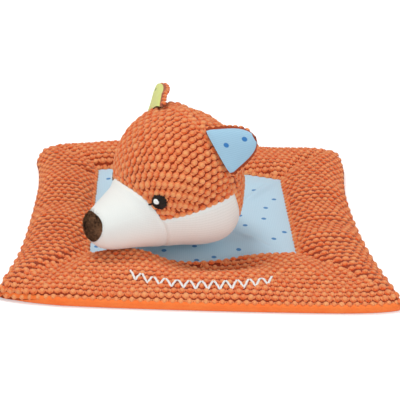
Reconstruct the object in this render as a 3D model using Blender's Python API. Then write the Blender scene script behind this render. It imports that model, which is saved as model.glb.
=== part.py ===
"""Cat's cuddle cloth with a stuffed fox head: a padded knitted border round a jersey panel, and a head sewn to the panel."""
import math

import bmesh
import bpy
import numpy as np
from mathutils import Vector

mm = 0.001

# Blanket, seen from above: +X right, -Y the front edge, Z up from the table
half_width = 66 * mm
half_depth = 65.5 * mm
front_flare = 1.3 * mm
left_draw_in = 3.6 * mm
right_draw_in = 5.2 * mm
front_bulge = 1.8 * mm
back_draw_in = 1 * mm
front_corner_inset = 1.2 * mm
back_corner_inset = 2.6 * mm

# Jersey panel inside the border
panel_left = 38 * mm
panel_right = 36 * mm
panel_front = 33 * mm
panel_front_pull = 7 * mm
front_pull_shift = 3 * mm
front_pull_reach = 30 * mm
panel_back_left = 43 * mm
panel_back_right = 34 * mm
panel_back_bow = 6 * mm
panel_seam_height = 4.3 * mm
panel_rise = 0.6 * mm
panel_cloth = 1.0 * mm

# Layers of the padded border
backing_cloth = 1.0 * mm
hem_height = 3.0 * mm
hem_turn = 1.0 * mm
hem_slope = 0.3 * mm
bottom_edge_round = 0.5 * mm
knit_cloth = 1.6 * mm
border_crown = 9.0 * mm
edge_top_height = 4.9 * mm
mitre_dip = 0.9 * mm
mitre_dip_share = 0.16
fit_gap = 0.3 * mm
corner_ease_share = 0.1
wadding_gap = 0.7 * mm
fold_height = 9.0 * mm

# Head, measured from its centre: it faces front left and looks a little down
head_x = -5.5 * mm
head_y = -23.0 * mm
head_height = 32.7 * mm
head_heading = math.radians(213)
head_dip = math.radians(9.1)
head_front = 25.0 * mm
head_back = 19.8 * mm
head_side = 25.1 * mm
head_top = 24.0 * mm
head_bottom = 28.0 * mm
muzzle_root = 12.0 * mm
muzzle_root_radius = 16.2 * mm
muzzle_root_drop = 8.4 * mm
muzzle_tip = 35.0 * mm
muzzle_tip_radius = 6.8 * mm
muzzle_tip_drop = 7.8 * mm
head_blend = 3.0 * mm
head_seat_height = 6.0 * mm
head_knit = 1.6 * mm
head_jersey = 1.2 * mm
nose_cloth = 1.4 * mm
skin_depth = 2.2 * mm

# Seams of the head, as shares of the turn from the nose (0) to the back of the head (1)
nose_edge_share = 0.118
muzzle_seam_share = 0.303
muzzle_seam_tilt_share = 0.066
back_seam_share = 0.556
back_seam_tilt_share = 0.035
cheek_line = math.radians(-8)

# Eyes, stitched on the knit
eye_turn_share = 0.326
left_eye_angle = math.radians(13.4)
right_eye_angle = math.radians(4)
eye_radius = 2.9 * mm
eye_thread = 0.5 * mm
glint_long = 1.15 * mm
glint_short = 0.8 * mm
glint_thread = 0.4 * mm
glint_shift = 0.95 * mm
eye_sides = 16
eye_rings = 3
eye_probe_share = 0.02

# Ears, sewn into the seam between crown and back of head
ear_top_angle = math.radians(54)
ear_low_angle = math.radians(14)
ear_length = 13.8 * mm
ear_side_lean = 11.6 * mm
ear_up_lean = 4.6 * mm
ear_back_lean = 10.6 * mm
ear_thickness = 3.0 * mm
ear_cup = 1.2 * mm
ear_edge = 0.9 * mm
ear_side_power = 1.3
ear_tip_power = 0.8

# Neck stitches round the head's seat, and the pouch of herbs inside the head
neck_radius = 8.5 * mm
neck_stitch_count = 14
neck_thread_radius = 0.25 * mm
neck_stitch_sway = 0.35 * mm
neck_pivot_back = 12.0 * mm
neck_pivot_height = 7.0 * mm
pouch_radius = 7.5 * mm
pouch_height = 13.0 * mm
pouch_corner = 2.5 * mm

head_spot = np.array([head_x, head_y, head_height])
face_way = np.array([math.cos(head_heading) * math.cos(head_dip),
                     math.sin(head_heading) * math.cos(head_dip), -math.sin(head_dip)])
side_way = np.array([-math.sin(head_heading), math.cos(head_heading), 0.0])
crown_way = np.cross(face_way, side_way)


def material(name, colour, roughness, metallic=0.0):
    mat = bpy.data.materials.new(name)
    mat.use_nodes = True
    shader = mat.node_tree.nodes["Principled BSDF"]
    shader.inputs["Base Color"].default_value = (*colour, 1.0)
    shader.inputs["Roughness"].default_value = roughness
    shader.inputs["Metallic"].default_value = metallic
    mat.diffuse_color = (*colour, 1.0)
    return mat


def add_mesh(name, points, faces, mat, origin=None):
    """One closed mesh object whose origin lies at the given point."""
    mesh = bpy.data.meshes.new(name)
    spot = Vector(origin) if origin is not None else Vector((0.0, 0.0, 0.0))
    mesh.from_pydata([Vector(p) - spot for p in points], [], faces)
    bm = bmesh.new()
    bm.from_mesh(mesh)
    bmesh.ops.recalc_face_normals(bm, faces=bm.faces)
    if bm.calc_volume(signed=True) < 0:
        bmesh.ops.reverse_faces(bm, faces=bm.faces)
    bmesh.ops.triangulate(bm, faces=bm.faces)
    bm.to_mesh(mesh)
    bm.free()
    mesh.materials.append(mat)
    mesh.shade_smooth()
    mesh.set_sharp_from_angle(angle=math.radians(50))
    obj = bpy.data.objects.new(name, mesh)
    obj.location = spot
    bpy.context.scene.collection.objects.link(obj)
    return obj


def shell_faces(rows, columns, wraps=False):
    """Faces of a closed slab: an outer grid of rows x columns, an inner one after it, and walls round the rim."""
    inner = rows * columns
    faces = []
    last = columns if wraps else columns - 1
    for i in range(rows - 1):
        for j in range(last):
            k = (j + 1) % columns
            a, b, c, d = i * columns + j, i * columns + k, (i + 1) * columns + k, (i + 1) * columns + j
            faces.append((a, b, c, d))
            faces.append((inner + d, inner + c, inner + b, inner + a))
    for j in range(last):
        k = (j + 1) % columns
        top = (rows - 1) * columns
        faces.append((j, inner + j, inner + k, k))
        faces.append((top + k, inner + top + k, inner + top + j, top + j))
    if not wraps:
        for i in range(rows - 1):
            a, b = i * columns, (i + 1) * columns
            faces.append((b, inner + b, inner + a, a))
            a, b = a + columns - 1, b + columns - 1
            faces.append((a, inner + a, inner + b, b))
    return faces


def add_slab(name, outer, inner, mat, wraps=False, origin=None):
    """outer and inner are grids of points, rows x columns x 3."""
    rows, columns = outer.shape[:2]
    points = np.concatenate([outer.reshape(-1, 3), inner.reshape(-1, 3)])
    return add_mesh(name, points, shell_faces(rows, columns, wraps), mat, origin)


def smooth_step(value):
    value = np.clip(value, 0.0, 1.0)
    return value * value * (3 - 2 * value)


# Blanket: a and b run from -2 to 2 across and along it, with the panel between -1 and 1 and the border outside

def front_seam(x):
    reach = np.clip(1 - ((x + front_pull_shift) / front_pull_reach) ** 2, 0.0, 1.0)
    return -(panel_front + panel_front_pull * reach ** 2)


def back_seam(x):
    share = (x + panel_left) / (panel_left + panel_right)
    straight = panel_back_left + (panel_back_right - panel_back_left) * share
    return straight + panel_back_bow * np.clip(4 * share * (1 - share), 0.0, 1.0)


def cloth_xy(a, b):
    """Plan position of a point of the blanket."""
    a, b = np.broadcast_arrays(np.asarray(a, float), np.asarray(b, float))
    along = np.clip(np.abs(a), 1, 2) - 1
    deep = np.clip(np.abs(b), 1, 2) - 1
    bow_x = 1 - (a / 2) ** 2
    bow_y = 1 - (b / 2) ** 2
    middle = (panel_right - panel_left) / 2 + a * (panel_left + panel_right) / 2
    edge = half_width - front_flare * b / 2
    right = panel_right + along * (edge - right_draw_in * bow_y - panel_right)
    left = -panel_left - along * (edge - left_draw_in * bow_y - panel_left)
    x = np.where(a > 1, right, np.where(a < -1, left, middle))
    inner_x = np.clip(x, -panel_left, panel_right)
    low, high = front_seam(inner_x), back_seam(inner_x)
    centre = low + (high - low) * (b + 1) / 2
    back = high + deep * (half_depth - back_draw_in * bow_x - high)
    front = low - deep * (half_depth + front_bulge * bow_x + low)
    y = np.where(b > 1, back, np.where(b < -1, front, centre))
    inset = np.where(b > 0, back_corner_inset, front_corner_inset) * (along * deep) ** 4
    return x - np.sign(a) * inset, y - np.sign(b) * inset


def border_height(across, mitre):
    """Top of the knit: across is 0 at the panel's seam and 1 at the outer edge, mitre 0 on a corner seam."""
    straight = panel_seam_height + (edge_top_height - panel_seam_height) * across
    puff = np.clip(1 - np.abs(2 * across - 1) ** 3, 0.0, 1.0) ** 0.8
    dip = mitre_dip * np.exp(-(mitre / mitre_dip_share) ** 2) * puff
    return straight + (border_crown - (panel_seam_height + edge_top_height) / 2) * puff - dip


def cloth_top(a, b):
    """Height of the blanket's upper face."""
    a, b = np.broadcast_arrays(np.asarray(a, float), np.asarray(b, float))
    along = np.clip(np.abs(a), 1, 2) - 1
    deep = np.clip(np.abs(b), 1, 2) - 1
    border = border_height(np.maximum(along, deep), np.where((along > 0) & (deep > 0), np.abs(along - deep), 1.0))
    edge_a = np.clip(1 - np.abs(a), 0.0, 1.0)
    edge_b = np.clip(1 - np.abs(b), 0.0, 1.0)
    puff = smooth_step(np.minimum(edge_a, edge_b) * 3)
    return np.where((along > 0) | (deep > 0), border, panel_seam_height + panel_rise * puff)


def cloth_slab(name, a, b, top, bottom, mat, origin=None):
    x, y = cloth_xy(a, b)
    return add_slab(name, np.stack([x, y, top], -1), np.stack([x, y, bottom], -1), mat, origin=origin)


left_gap_share = fit_gap / 2 / (half_width - panel_left)
right_gap_share = fit_gap / 2 / (half_width - panel_right)
front_gap_share = fit_gap / 2 / (half_depth - panel_front - panel_front_pull)
back_gap_share = fit_gap / 2 / (half_depth - panel_back_left)
panel_gap_share = fit_gap / (panel_left + panel_right)
mitre_gap_share = fit_gap * math.sqrt(0.5) / (half_width - panel_left)
lip_share = hem_turn / (half_width - panel_left)
slope_share = hem_slope / (half_width - panel_left)
round_share = bottom_edge_round / (half_width - panel_left)


def side_lines(start, steps, outer_ring):
    """Grid lines across a border, from its seam out, with lines at the hem's turn where outer_ring is set."""
    lines = list(np.linspace(start, 1 - lip_share - slope_share - round_share, steps))
    if outer_ring:
        lines += [1 - lip_share - slope_share, 1 - lip_share, 1 - round_share, 1]
    return np.array(lines)


def backing_piece(name, a_lines, b_lines, mat, origin=None):
    """Flat backing cloth whose outer edge turns up to the hem."""
    a, b = np.meshgrid(a_lines, b_lines, indexing="ij")
    out = np.maximum(np.abs(a), np.abs(b)) - 1
    turn = np.clip((out - (1 - lip_share - slope_share)) / slope_share, 0.0, 1.0)
    top = backing_cloth + (hem_height - backing_cloth) * turn
    bottom = bottom_edge_round * np.clip((out - (1 - round_share)) / round_share, 0.0, 1.0)
    return cloth_slab(name, a, b, top, bottom, mat, origin)


def knit_piece(name, a, b, mat, origin=None):
    top = cloth_top(a, b)
    return cloth_slab(name, a, b, top, top - knit_cloth, mat, origin)


def wadding_piece(name, a, b, cover, mat, origin=None):
    in_corner = np.minimum(np.abs(a), np.abs(b)) > 1
    nearby = [cloth_top(a + da * corner_ease_share, b + db * corner_ease_share)
              for da, db in ((0, 0), (1, 0), (-1, 0), (0, 1), (0, -1))]
    top = np.where(in_corner, np.minimum.reduce(nearby) - mitre_dip / 2, nearby[0]) - cover - wadding_gap
    return cloth_slab(name, a, b, top, np.full_like(top, backing_cloth + fit_gap), mat, origin)


def make_blanket(mats):
    fold = {"left": (-panel_left, 0.0, fold_height), "right": (panel_right, 0.0, fold_height)}
    left_out = 1 + side_lines(left_gap_share, 6, True)
    right_out = 1 + side_lines(right_gap_share, 6, True)
    end_out = 1 + side_lines(0, 4, True)
    inside = np.linspace(-1, 1, 9)
    full_b = np.concatenate([-end_out[::-1], inside[1:-1], end_out])
    centre_a = np.linspace(-1 + panel_gap_share, 1 - panel_gap_share, 11)
    backing_piece("backing_left", -left_out[::-1], full_b, mats["backing"], fold["left"])
    backing_piece("backing_centre", centre_a, full_b, mats["backing"])
    backing_piece("backing_right", right_out, full_b, mats["backing"], fold["right"])

    edge = 1 - lip_share - slope_share - left_gap_share
    across = np.linspace(0, 1, 9)
    left_a = -(1 + left_gap_share + across * (edge - left_gap_share))
    right_a = 1 + right_gap_share + across * (edge - right_gap_share)
    ends = 1 + np.linspace(0, 1, 7) * edge
    long_b = np.concatenate([-ends[::-1], inside[1:-1], ends])
    for side, lines in (("left", left_a[::-1]), ("right", right_a)):
        a, b = np.meshgrid(lines, long_b, indexing="ij")
        wadding_piece("wadding_" + side, a, b, knit_cloth, mats["wadding"], fold[side])
    front_b = -(1 + front_gap_share + across * (edge - front_gap_share))
    back_b = 1 + back_gap_share + across * (edge - back_gap_share)
    for name, lines in (("wadding_front", front_b[::-1]), ("wadding_back", back_b)):
        a, b = np.meshgrid(centre_a, lines, indexing="ij")
        wadding_piece(name, a, b, knit_cloth, mats["wadding"])
    panel_lines = np.linspace(-1 + panel_gap_share, 1 - panel_gap_share, 13)
    a, b = np.meshgrid(panel_lines, panel_lines, indexing="ij")
    wadding_piece("wadding_centre", a, b, panel_cloth, mats["wadding"])
    top = cloth_top(a, b)
    cloth_slab("centre_panel", a, b, top, top - panel_cloth, mats["panel"])

    for sign, side, gap in ((-1, "left", left_gap_share), (1, "right", right_gap_share)):
        out = np.append(np.linspace(gap, edge, 9), 1)[:, None]
        along = np.linspace(-1, 1, 19)[None, :]
        reach = 1 + out - mitre_gap_share
        knit_piece("knit_" + side, sign * (1 + out) + 0 * along, along * reach, mats["knit"], fold[side])
        for end_sign, end, end_gap in ((-1, "front", front_gap_share), (1, "back", back_gap_share)):
            first = gap + 2 * mitre_gap_share + 2 * end_gap
            deep = np.append(np.linspace(first, edge, 9), 1)[:, None]
            share = np.linspace(0, 1, 7)[None, :]
            out_a = gap + share * (deep - mitre_gap_share - gap)
            knit_piece("knit_" + end + "_" + side + "_corner", sign * (1 + out_a),
                       end_sign * (1 + deep) + 0 * share, mats["knit"], fold[side])
    for end_sign, end, gap in ((-1, "front", front_gap_share), (1, "back", back_gap_share)):
        deep = np.append(np.linspace(gap, edge, 9), 1)[None, :]
        knit_piece("knit_" + end, centre_a[:, None] + 0 * deep, end_sign * (1 + deep) + 0 * centre_a[:, None],
                   mats["knit"])


# Head: its outside is one smooth surface, and every layer of it lies at a set depth below that surface

def smooth_least(first, second, reach):
    share = np.clip(0.5 + 0.5 * (second - first) / reach, 0.0, 1.0)
    return second * (1 - share) + first * share - reach * share * (1 - share)


def head_depth(point):
    """How far a point in head axes (face, side, crown) lies outside the head's surface; less than zero is inside."""
    radii = np.stack([np.where(point[..., 0] > 0, head_front, head_back), np.full(point.shape[:-1], head_side),
                      np.where(point[..., 2] > 0, head_top, head_bottom)], -1)
    near = np.linalg.norm(point / radii, axis=-1)
    skull = near * (near - 1) / np.maximum(np.linalg.norm(point / radii ** 2, axis=-1), 1e-9)
    root = np.array([muzzle_root, 0.0, -muzzle_root_drop])
    tip = np.array([muzzle_tip, 0.0, -muzzle_tip_drop])
    length = np.linalg.norm(tip - root)
    way = (tip - root) / length
    offset = point - root
    down = offset @ way
    wide = np.linalg.norm(offset - down[..., None] * way, axis=-1)
    taper = (muzzle_root_radius - muzzle_tip_radius) / length
    cosine = math.sqrt(1 - taper * taper)
    side = cosine * down - taper * wide
    muzzle = np.where(side < 0, np.hypot(wide, down) - muzzle_root_radius,
                      np.where(side > cosine * length, np.hypot(wide, down - length) - muzzle_tip_radius,
                               wide * cosine + down * taper - muzzle_root_radius))
    return smooth_least(skull, muzzle, head_blend)


def to_world(point):
    return head_spot + point[..., :1] * face_way + point[..., 1:2] * side_way + point[..., 2:] * crown_way


def head_point(turn, angle, depth=0.0):
    """World point on the layer at that depth. turn goes from the nose, 0, to the back of the head, 1, and angle
    round the face axis from the fox's left."""
    turn, angle = np.broadcast_arrays(np.asarray(turn, float), np.asarray(angle, float))
    slide = np.clip(1 - 2 * turn, 0.0, 1.0) ** 1.2
    start = np.stack([muzzle_tip * slide, 0 * slide, -muzzle_tip_drop * slide], -1)
    bend = math.pi * turn
    way = np.stack([np.cos(bend), np.sin(bend) * np.cos(angle), np.sin(bend) * np.sin(angle)], -1)
    low = np.zeros(turn.shape)
    high = np.full(turn.shape, head_bottom + muzzle_tip)
    for _ in range(40):
        middle = (low + high) / 2
        spot = start + way * middle[..., None]
        seat = head_seat_height - to_world(spot)[..., 2]
        inside = np.maximum(head_depth(spot), seat) < -depth
        low = np.where(inside, middle, low)
        high = np.where(inside, high, middle)
    return to_world(start + way * low[..., None])


def add_cap(name, ring_turns, angles, outer_depth, inner_depth, pole_turn, mat, origin=None):
    """A dome with one point at the pole; ring_turns has a row of turns for each ring, from the pole outwards."""
    points, faces = [], []
    count = len(angles)
    rings = len(ring_turns)
    for depth in (outer_depth, inner_depth):
        points.append(head_point(pole_turn, 0.0, depth)[None])
        points.append(head_point(ring_turns, np.asarray(angles)[None, :], depth).reshape(-1, 3))
    half = 1 + rings * count
    for base in (0, half):
        for j in range(count):
            k = (j + 1) % count
            faces.append((base, base + 1 + j, base + 1 + k))
            for i in range(rings - 1):
                a = base + 1 + i * count
                faces.append((a + j, a + count + j, a + count + k, a + k))
    rim = 1 + (rings - 1) * count
    for j in range(count):
        k = (j + 1) % count
        faces.append((rim + j, half + rim + j, half + rim + k, rim + k))
    return add_mesh(name, np.concatenate(points), faces, mat, origin)


seam_gap_turn_share = fit_gap / 2 / (math.pi * head_side)
nose_gap_turn_share = fit_gap / 2 / (math.pi * muzzle_tip_radius)
seam_gap_angle = fit_gap / 2 / head_back


def muzzle_seam(angle):
    return muzzle_seam_share - muzzle_seam_tilt_share * np.sin(angle)


def back_seam_turn(angle):
    return back_seam_share - back_seam_tilt_share * np.sin(angle)


def neck_pivot():
    back = np.array([face_way[0], face_way[1], 0.0])
    back = back / np.linalg.norm(back)
    flat = head_spot - back * neck_pivot_back
    return np.array([flat[0], flat[1], neck_pivot_height])


def make_head(mats):
    pivot = neck_pivot()
    around = np.linspace(0, 2 * math.pi, 28, endpoint=False)
    nose_turns = np.linspace(0, 1, 5)[1:, None] * (nose_edge_share - nose_gap_turn_share) + 0 * around[None, :]
    add_cap("nose", nose_turns, around, 0.0, nose_cloth, 0.0, mats["nose"], pivot)

    share = np.linspace(0, 1, 7)[:, None]
    first = nose_edge_share + nose_gap_turn_share
    turns = first + share * (muzzle_seam(around)[None, :] - seam_gap_turn_share - first)
    add_slab("muzzle", head_point(turns, around[None, :]), head_point(turns, around[None, :], head_jersey),
             mats["cream"], wraps=True, origin=pivot)

    def patch(name, low, high, columns, cloth, mat):
        angles = np.linspace(low + seam_gap_angle, high - seam_gap_angle, columns)[None, :]
        start = muzzle_seam(angles) + seam_gap_turn_share
        rows = start + np.linspace(0, 1, 11)[:, None] * (back_seam_turn(angles) - seam_gap_turn_share - start)
        add_slab(name, head_point(rows, angles), head_point(rows, angles, cloth), mat, origin=pivot)

    patch("crown", cheek_line, math.pi - cheek_line, 17, head_knit, mats["knit"])
    patch("left_cheek", -math.pi / 2, cheek_line, 8, head_jersey, mats["cream"])
    patch("right_cheek", math.pi - cheek_line, math.pi * 3 / 2, 8, head_jersey, mats["cream"])
    back_turns = 1 - np.linspace(0, 1, 6)[1:, None] * (1 - back_seam_turn(around)[None, :] - seam_gap_turn_share)
    add_cap("head_back", back_turns, around, 0.0, head_knit, 1.0, mats["knit"], pivot)

    make_stuffing(mats, pivot)
    for side, mirror in (("left", False), ("right", True)):
        make_eye(side, mirror, mats, pivot)
        make_ear(side, mirror, mats)
    make_neck(mats)


def make_stuffing(mats, pivot):
    """Solid filling, with a pocket from below that holds the pouch."""
    around = np.linspace(0, 2 * math.pi, 24, endpoint=False)
    turns = np.linspace(0, 1, 19)[1:-1, None]
    grid = head_point(turns, around[None, :], skin_depth)
    poles = [head_point(end, 0.0, skin_depth) for end in (0.0, 1.0)]
    points = np.concatenate([grid.reshape(-1, 3), np.array(poles)])
    rows, count = grid.shape[:2]
    faces = []
    for j in range(count):
        k = (j + 1) % count
        faces.append((rows * count, j, k))
        faces.append((rows * count + 1, (rows - 1) * count + k, (rows - 1) * count + j))
        for i in range(rows - 1):
            faces.append((i * count + j, (i + 1) * count + j, (i + 1) * count + k, i * count + k))
    filling = add_mesh("head_stuffing", points, faces, mats["wadding"], pivot)
    floor = head_seat_height + skin_depth
    pocket = add_turned("pouch_pocket", pouch_radius + fit_gap, floor - pouch_corner,
                        floor + pouch_height + fit_gap, pouch_corner, mats["wadding"], pivot)
    pocket.hide_render = True
    pocket.display_type = "WIRE"
    cut = filling.modifiers.new("pocket", "BOOLEAN")
    cut.operation = "DIFFERENCE"
    cut.object = pocket
    add_turned("herb_pouch", pouch_radius, floor, floor + pouch_height, pouch_corner, mats["pouch"], pivot)


def add_turned(name, radius, low, high, corner, mat, origin):
    """An upright round pad with rounded edges, under the head's centre."""
    bends = np.linspace(0, math.pi / 2, 4)
    profile = [(radius - corner + corner * math.sin(t), low + corner - corner * math.cos(t)) for t in bends]
    profile += [(radius - corner + corner * math.cos(t), high - corner + corner * math.sin(t)) for t in bends]
    around = np.linspace(0, 2 * math.pi, 20, endpoint=False)
    points = [(head_x + r * math.cos(t), head_y + r * math.sin(t), z) for r, z in profile for t in around]
    count, rows = len(around), len(profile)
    faces = [tuple(range(count))[::-1], tuple(range((rows - 1) * count, rows * count))]
    for i in range(rows - 1):
        for j in range(count):
            k = (j + 1) % count
            faces.append((i * count + j, i * count + k, (i + 1) * count + k, (i + 1) * count + j))
    return add_mesh(name, points, faces, mat, origin)


def mirror_angle(angle, mirror):
    return math.pi - angle if mirror else angle


def surface_disc(name, centre_turn, centre_angle, across, upright, shift, low, high, mat, origin):
    """A thin oval pad that follows the head's surface between two heights above it."""
    middle = head_point(centre_turn, centre_angle)
    near = eye_probe_share
    right = head_point(centre_turn, centre_angle + near) - head_point(centre_turn, centre_angle - near)
    ahead = head_point(centre_turn - near, centre_angle) - head_point(centre_turn + near, centre_angle)
    normal = np.cross(right, ahead)
    normal = normal / np.linalg.norm(normal)
    if normal @ (middle - head_spot) < 0:
        normal = -normal
    up = crown_way - (crown_way @ normal) * normal
    up = up / np.linalg.norm(up)
    forward = np.cross(up, normal)
    if forward @ face_way < 0:
        forward = -forward
    count, rings = eye_sides, eye_rings
    layers = []
    for lift in (high, low):
        grid = [middle + normal * lift + (forward + up) * shift * math.sqrt(0.5)]
        for i in range(1, rings + 1):
            for j in range(count):
                angle = 2 * math.pi * j / count
                share = i / rings
                x = across * share * math.cos(angle) + shift * math.sqrt(0.5)
                y = upright * share * math.sin(angle) + shift * math.sqrt(0.5)
                sink = (x * x + y * y) / (2 * head_side)
                grid.append(middle + forward * x + up * y + normal * (lift - sink))
        layers.append(np.array(grid))
    half = 1 + rings * count
    faces = []
    for base in (0, half):
        for j in range(count):
            k = (j + 1) % count
            faces.append((base, base + 1 + j, base + 1 + k))
            for i in range(rings - 1):
                a = base + 1 + i * count
                faces.append((a + j, a + count + j, a + count + k, a + k))
    rim = 1 + (rings - 1) * count
    for j in range(count):
        k = (j + 1) % count
        faces.append((rim + j, half + rim + j, half + rim + k, rim + k))
    return add_mesh(name, np.concatenate(layers), faces, mat, origin)


def make_eye(side, mirror, mats, pivot):
    angle = mirror_angle(right_eye_angle if mirror else left_eye_angle, mirror)
    surface_disc(side + "_eye", eye_turn_share, angle, eye_radius, eye_radius, 0.0, fit_gap, fit_gap + eye_thread,
                 mats["black"], pivot)
    low = 2 * fit_gap + eye_thread
    surface_disc(side + "_eye_glint", eye_turn_share, angle, glint_short, glint_long, glint_shift, low,
                 low + glint_thread, mats["white"], pivot)


def ear_frame(mirror):
    """Middle of the base, way along it, way to the tip, way out of the lining, and half the base's length."""
    seam_angles = np.array([ear_top_angle, ear_low_angle, (ear_top_angle + ear_low_angle) / 2])
    *ends, middle_skin = head_point(back_seam_turn(seam_angles), mirror_angle(seam_angles, mirror))
    middle = (ends[0] + ends[1]) / 2
    along = (ends[0] - ends[1]) / np.linalg.norm(ends[0] - ends[1])
    sign = -1.0 if mirror else 1.0
    tip = sign * ear_side_lean * side_way + ear_up_lean * crown_way - ear_back_lean * face_way
    tip = tip / np.linalg.norm(tip)
    out = np.cross(along, tip)
    out = out / np.linalg.norm(out)
    if out @ face_way < 0:
        out = -out
    outward = (middle_skin - head_spot) / np.linalg.norm(middle_skin - head_spot)
    rise = (middle_skin - middle) @ outward
    base = middle + outward * (rise + fit_gap + ear_thickness / 2)
    return base, along, tip, out, np.linalg.norm(ends[0] - ends[1]) / 2


def make_ear(side, mirror, mats):
    """Knit back and jersey lining of one ear; both end in a half round about the fold line along the base."""
    base, along, tip, out, half_base = ear_frame(mirror)
    round_base = ear_thickness / 2
    bends = np.linspace(0, math.pi / 2, 4)
    rises = np.concatenate([-round_base * np.cos(bends), np.linspace(0, ear_length, 9)[1:]])
    shares = np.linspace(-1, 1, 9)
    for name, sign, mat in (("_ear_back", -1, mats["knit"]), ("_ear_lining", 1, mats["lining_" + side])):
        outer = np.zeros((len(rises), len(shares), 3))
        inner = np.zeros_like(outer)
        for i, rise in enumerate(rises):
            up = max(rise, 0.0) / ear_length
            half = half_base * max(1 - up ** ear_side_power, 0.0) ** ear_tip_power + ear_edge
            depth = math.sqrt(max(round_base ** 2 - min(rise, 0.0) ** 2, 0.0))
            for j, share in enumerate(shares):
                thick = ear_edge + (depth - ear_edge) * (1 - share ** 4) * (1 - up ** 4)
                thick = min(thick, max(depth, fit_gap))
                cup = -ear_cup * share * share * up * (1 - up) * 4
                spot = base + along * half * share + tip * rise + out * cup
                outer[i, j] = spot + out * sign * max(thick, fit_gap)
                inner[i, j] = spot + out * sign * fit_gap / 2
        add_slab(side + name, outer, inner, mat, origin=base)


def make_neck(mats):
    """The ring of thread that sews the head's seat to the panel, lying between the two."""
    points, faces = [], []
    floor = panel_seam_height + panel_rise + fit_gap
    steps, sides = 2 * neck_stitch_count, 6
    for n in range(steps):
        turn = 2 * math.pi * n / steps
        radius = neck_radius + neck_stitch_sway * (1 if n % 2 else -1)
        way = np.array([math.cos(turn), math.sin(turn), 0.0])
        centre = np.array([head_x, head_y, floor + neck_thread_radius]) + way * radius
        for corner in range(sides):
            side = 2 * math.pi * corner / sides
            lift = np.array([0.0, 0.0, neck_thread_radius * math.sin(side)])
            points.append(centre + way * neck_thread_radius * math.cos(side) + lift)
            k, m = (corner + 1) % sides, (n + 1) % steps
            faces.append((n * sides + corner, n * sides + k, m * sides + k, m * sides + corner))
    return add_mesh("neck_seam", points, faces, mats["thread"])


def main():
    for obj in list(bpy.data.objects):
        bpy.data.objects.remove(obj, do_unlink=True)
    mats = {
        "knit": material("orange_knit", (0.75, 0.17, 0.055), 0.9),
        "backing": material("orange_fleece", (0.95, 0.22, 0.06), 0.85),
        "panel": material("blue_jersey", (0.46, 0.64, 0.82), 0.85),
        "cream": material("cream_jersey", (0.82, 0.79, 0.73), 0.85),
        "nose": material("brown_fleece", (0.09, 0.045, 0.022), 0.95),
        "black": material("black_thread", (0.012, 0.012, 0.012), 0.45),
        "white": material("white_thread", (0.85, 0.85, 0.83), 0.5),
        "thread": material("orange_thread", (0.6, 0.15, 0.05), 0.6),
        "wadding": material("wadding", (0.86, 0.86, 0.84), 0.95),
        "pouch": material("herb_pouch_cloth", (0.55, 0.5, 0.36), 0.9),
        "lining_left": material("blue_lining", (0.46, 0.64, 0.82), 0.85),
        "lining_right": material("green_lining", (0.66, 0.76, 0.24), 0.85),
    }
    make_blanket(mats)
    make_head(mats)


main()
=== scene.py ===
import math

import bpy
import numpy as np
from mathutils import Matrix, Vector, kdtree


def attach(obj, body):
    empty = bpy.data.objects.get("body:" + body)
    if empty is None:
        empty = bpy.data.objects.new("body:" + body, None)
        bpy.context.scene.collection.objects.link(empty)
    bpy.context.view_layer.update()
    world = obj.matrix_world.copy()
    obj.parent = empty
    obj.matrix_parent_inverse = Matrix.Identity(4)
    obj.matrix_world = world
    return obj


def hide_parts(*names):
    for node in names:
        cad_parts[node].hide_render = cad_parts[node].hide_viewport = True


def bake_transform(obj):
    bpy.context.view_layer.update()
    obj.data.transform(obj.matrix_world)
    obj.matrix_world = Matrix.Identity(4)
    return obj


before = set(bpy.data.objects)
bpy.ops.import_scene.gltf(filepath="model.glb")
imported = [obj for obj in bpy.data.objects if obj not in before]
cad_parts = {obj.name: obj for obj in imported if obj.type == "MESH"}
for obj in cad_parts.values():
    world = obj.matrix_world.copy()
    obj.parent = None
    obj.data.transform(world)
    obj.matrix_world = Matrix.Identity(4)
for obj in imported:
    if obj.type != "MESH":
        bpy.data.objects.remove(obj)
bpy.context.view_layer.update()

mm = 0.001

# Camera: set where the photograph was taken from, in front of the blanket and about 25 degrees above it, with
# the small roll that the photograph has.
camera_azimuth, camera_elevation, camera_roll = (math.radians(angle) for angle in (-2.3, 24.8, 1.47))
camera_distance = 500 * mm
camera_aim = Vector((2.57, 22.2, 0.0)) * mm


def add_object(name, data):
    thing = bpy.data.objects.new(name, data)
    bpy.context.scene.collection.objects.link(thing)
    return thing


camera_data = bpy.data.cameras.new("photo_camera")
camera_data.sensor_width = 36.0
camera_data.lens = 112.07
camera_data.clip_start = 0.01
camera = add_object("photo_camera", camera_data)
away = Vector((math.sin(camera_azimuth) * math.cos(camera_elevation),
               -math.cos(camera_azimuth) * math.cos(camera_elevation), math.sin(camera_elevation)))
level = Vector((0, 0, 1)).cross(away).normalized()
right = level * math.cos(camera_roll) + away.cross(level) * math.sin(camera_roll)
turned = Matrix((right, away.cross(right), away)).transposed().to_4x4()
camera.matrix_world = Matrix.Translation(camera_aim + away * camera_distance) @ turned
bpy.context.scene.camera = camera

# Studio: a white sweep under a soft lamp overhead, with weaker lamps low down at the right and in front that
# reach under the chin. The air and the floor show white to the camera, and the floor keeps a faint shadow.
bpy.context.scene.view_settings.view_transform = "Standard"
sweep_half, sweep_drop, sweep_glow = 3.0, 0.05 * mm, 0.42


def feed(node, inputs):
    """Set each named input of a node to a value, or link it to the output that is given for it."""
    for key, value in inputs.items():
        if isinstance(value, bpy.types.NodeSocket):
            node.id_data.links.new(value, node.inputs[key])
        else:
            node.inputs[key].default_value = value


def add_node(tree, kind, inputs=None, **settings):
    node = tree.nodes.new("ShaderNode" + kind)
    for name, value in settings.items():
        setattr(node, name, value)
    feed(node, inputs or {})
    return node


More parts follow.
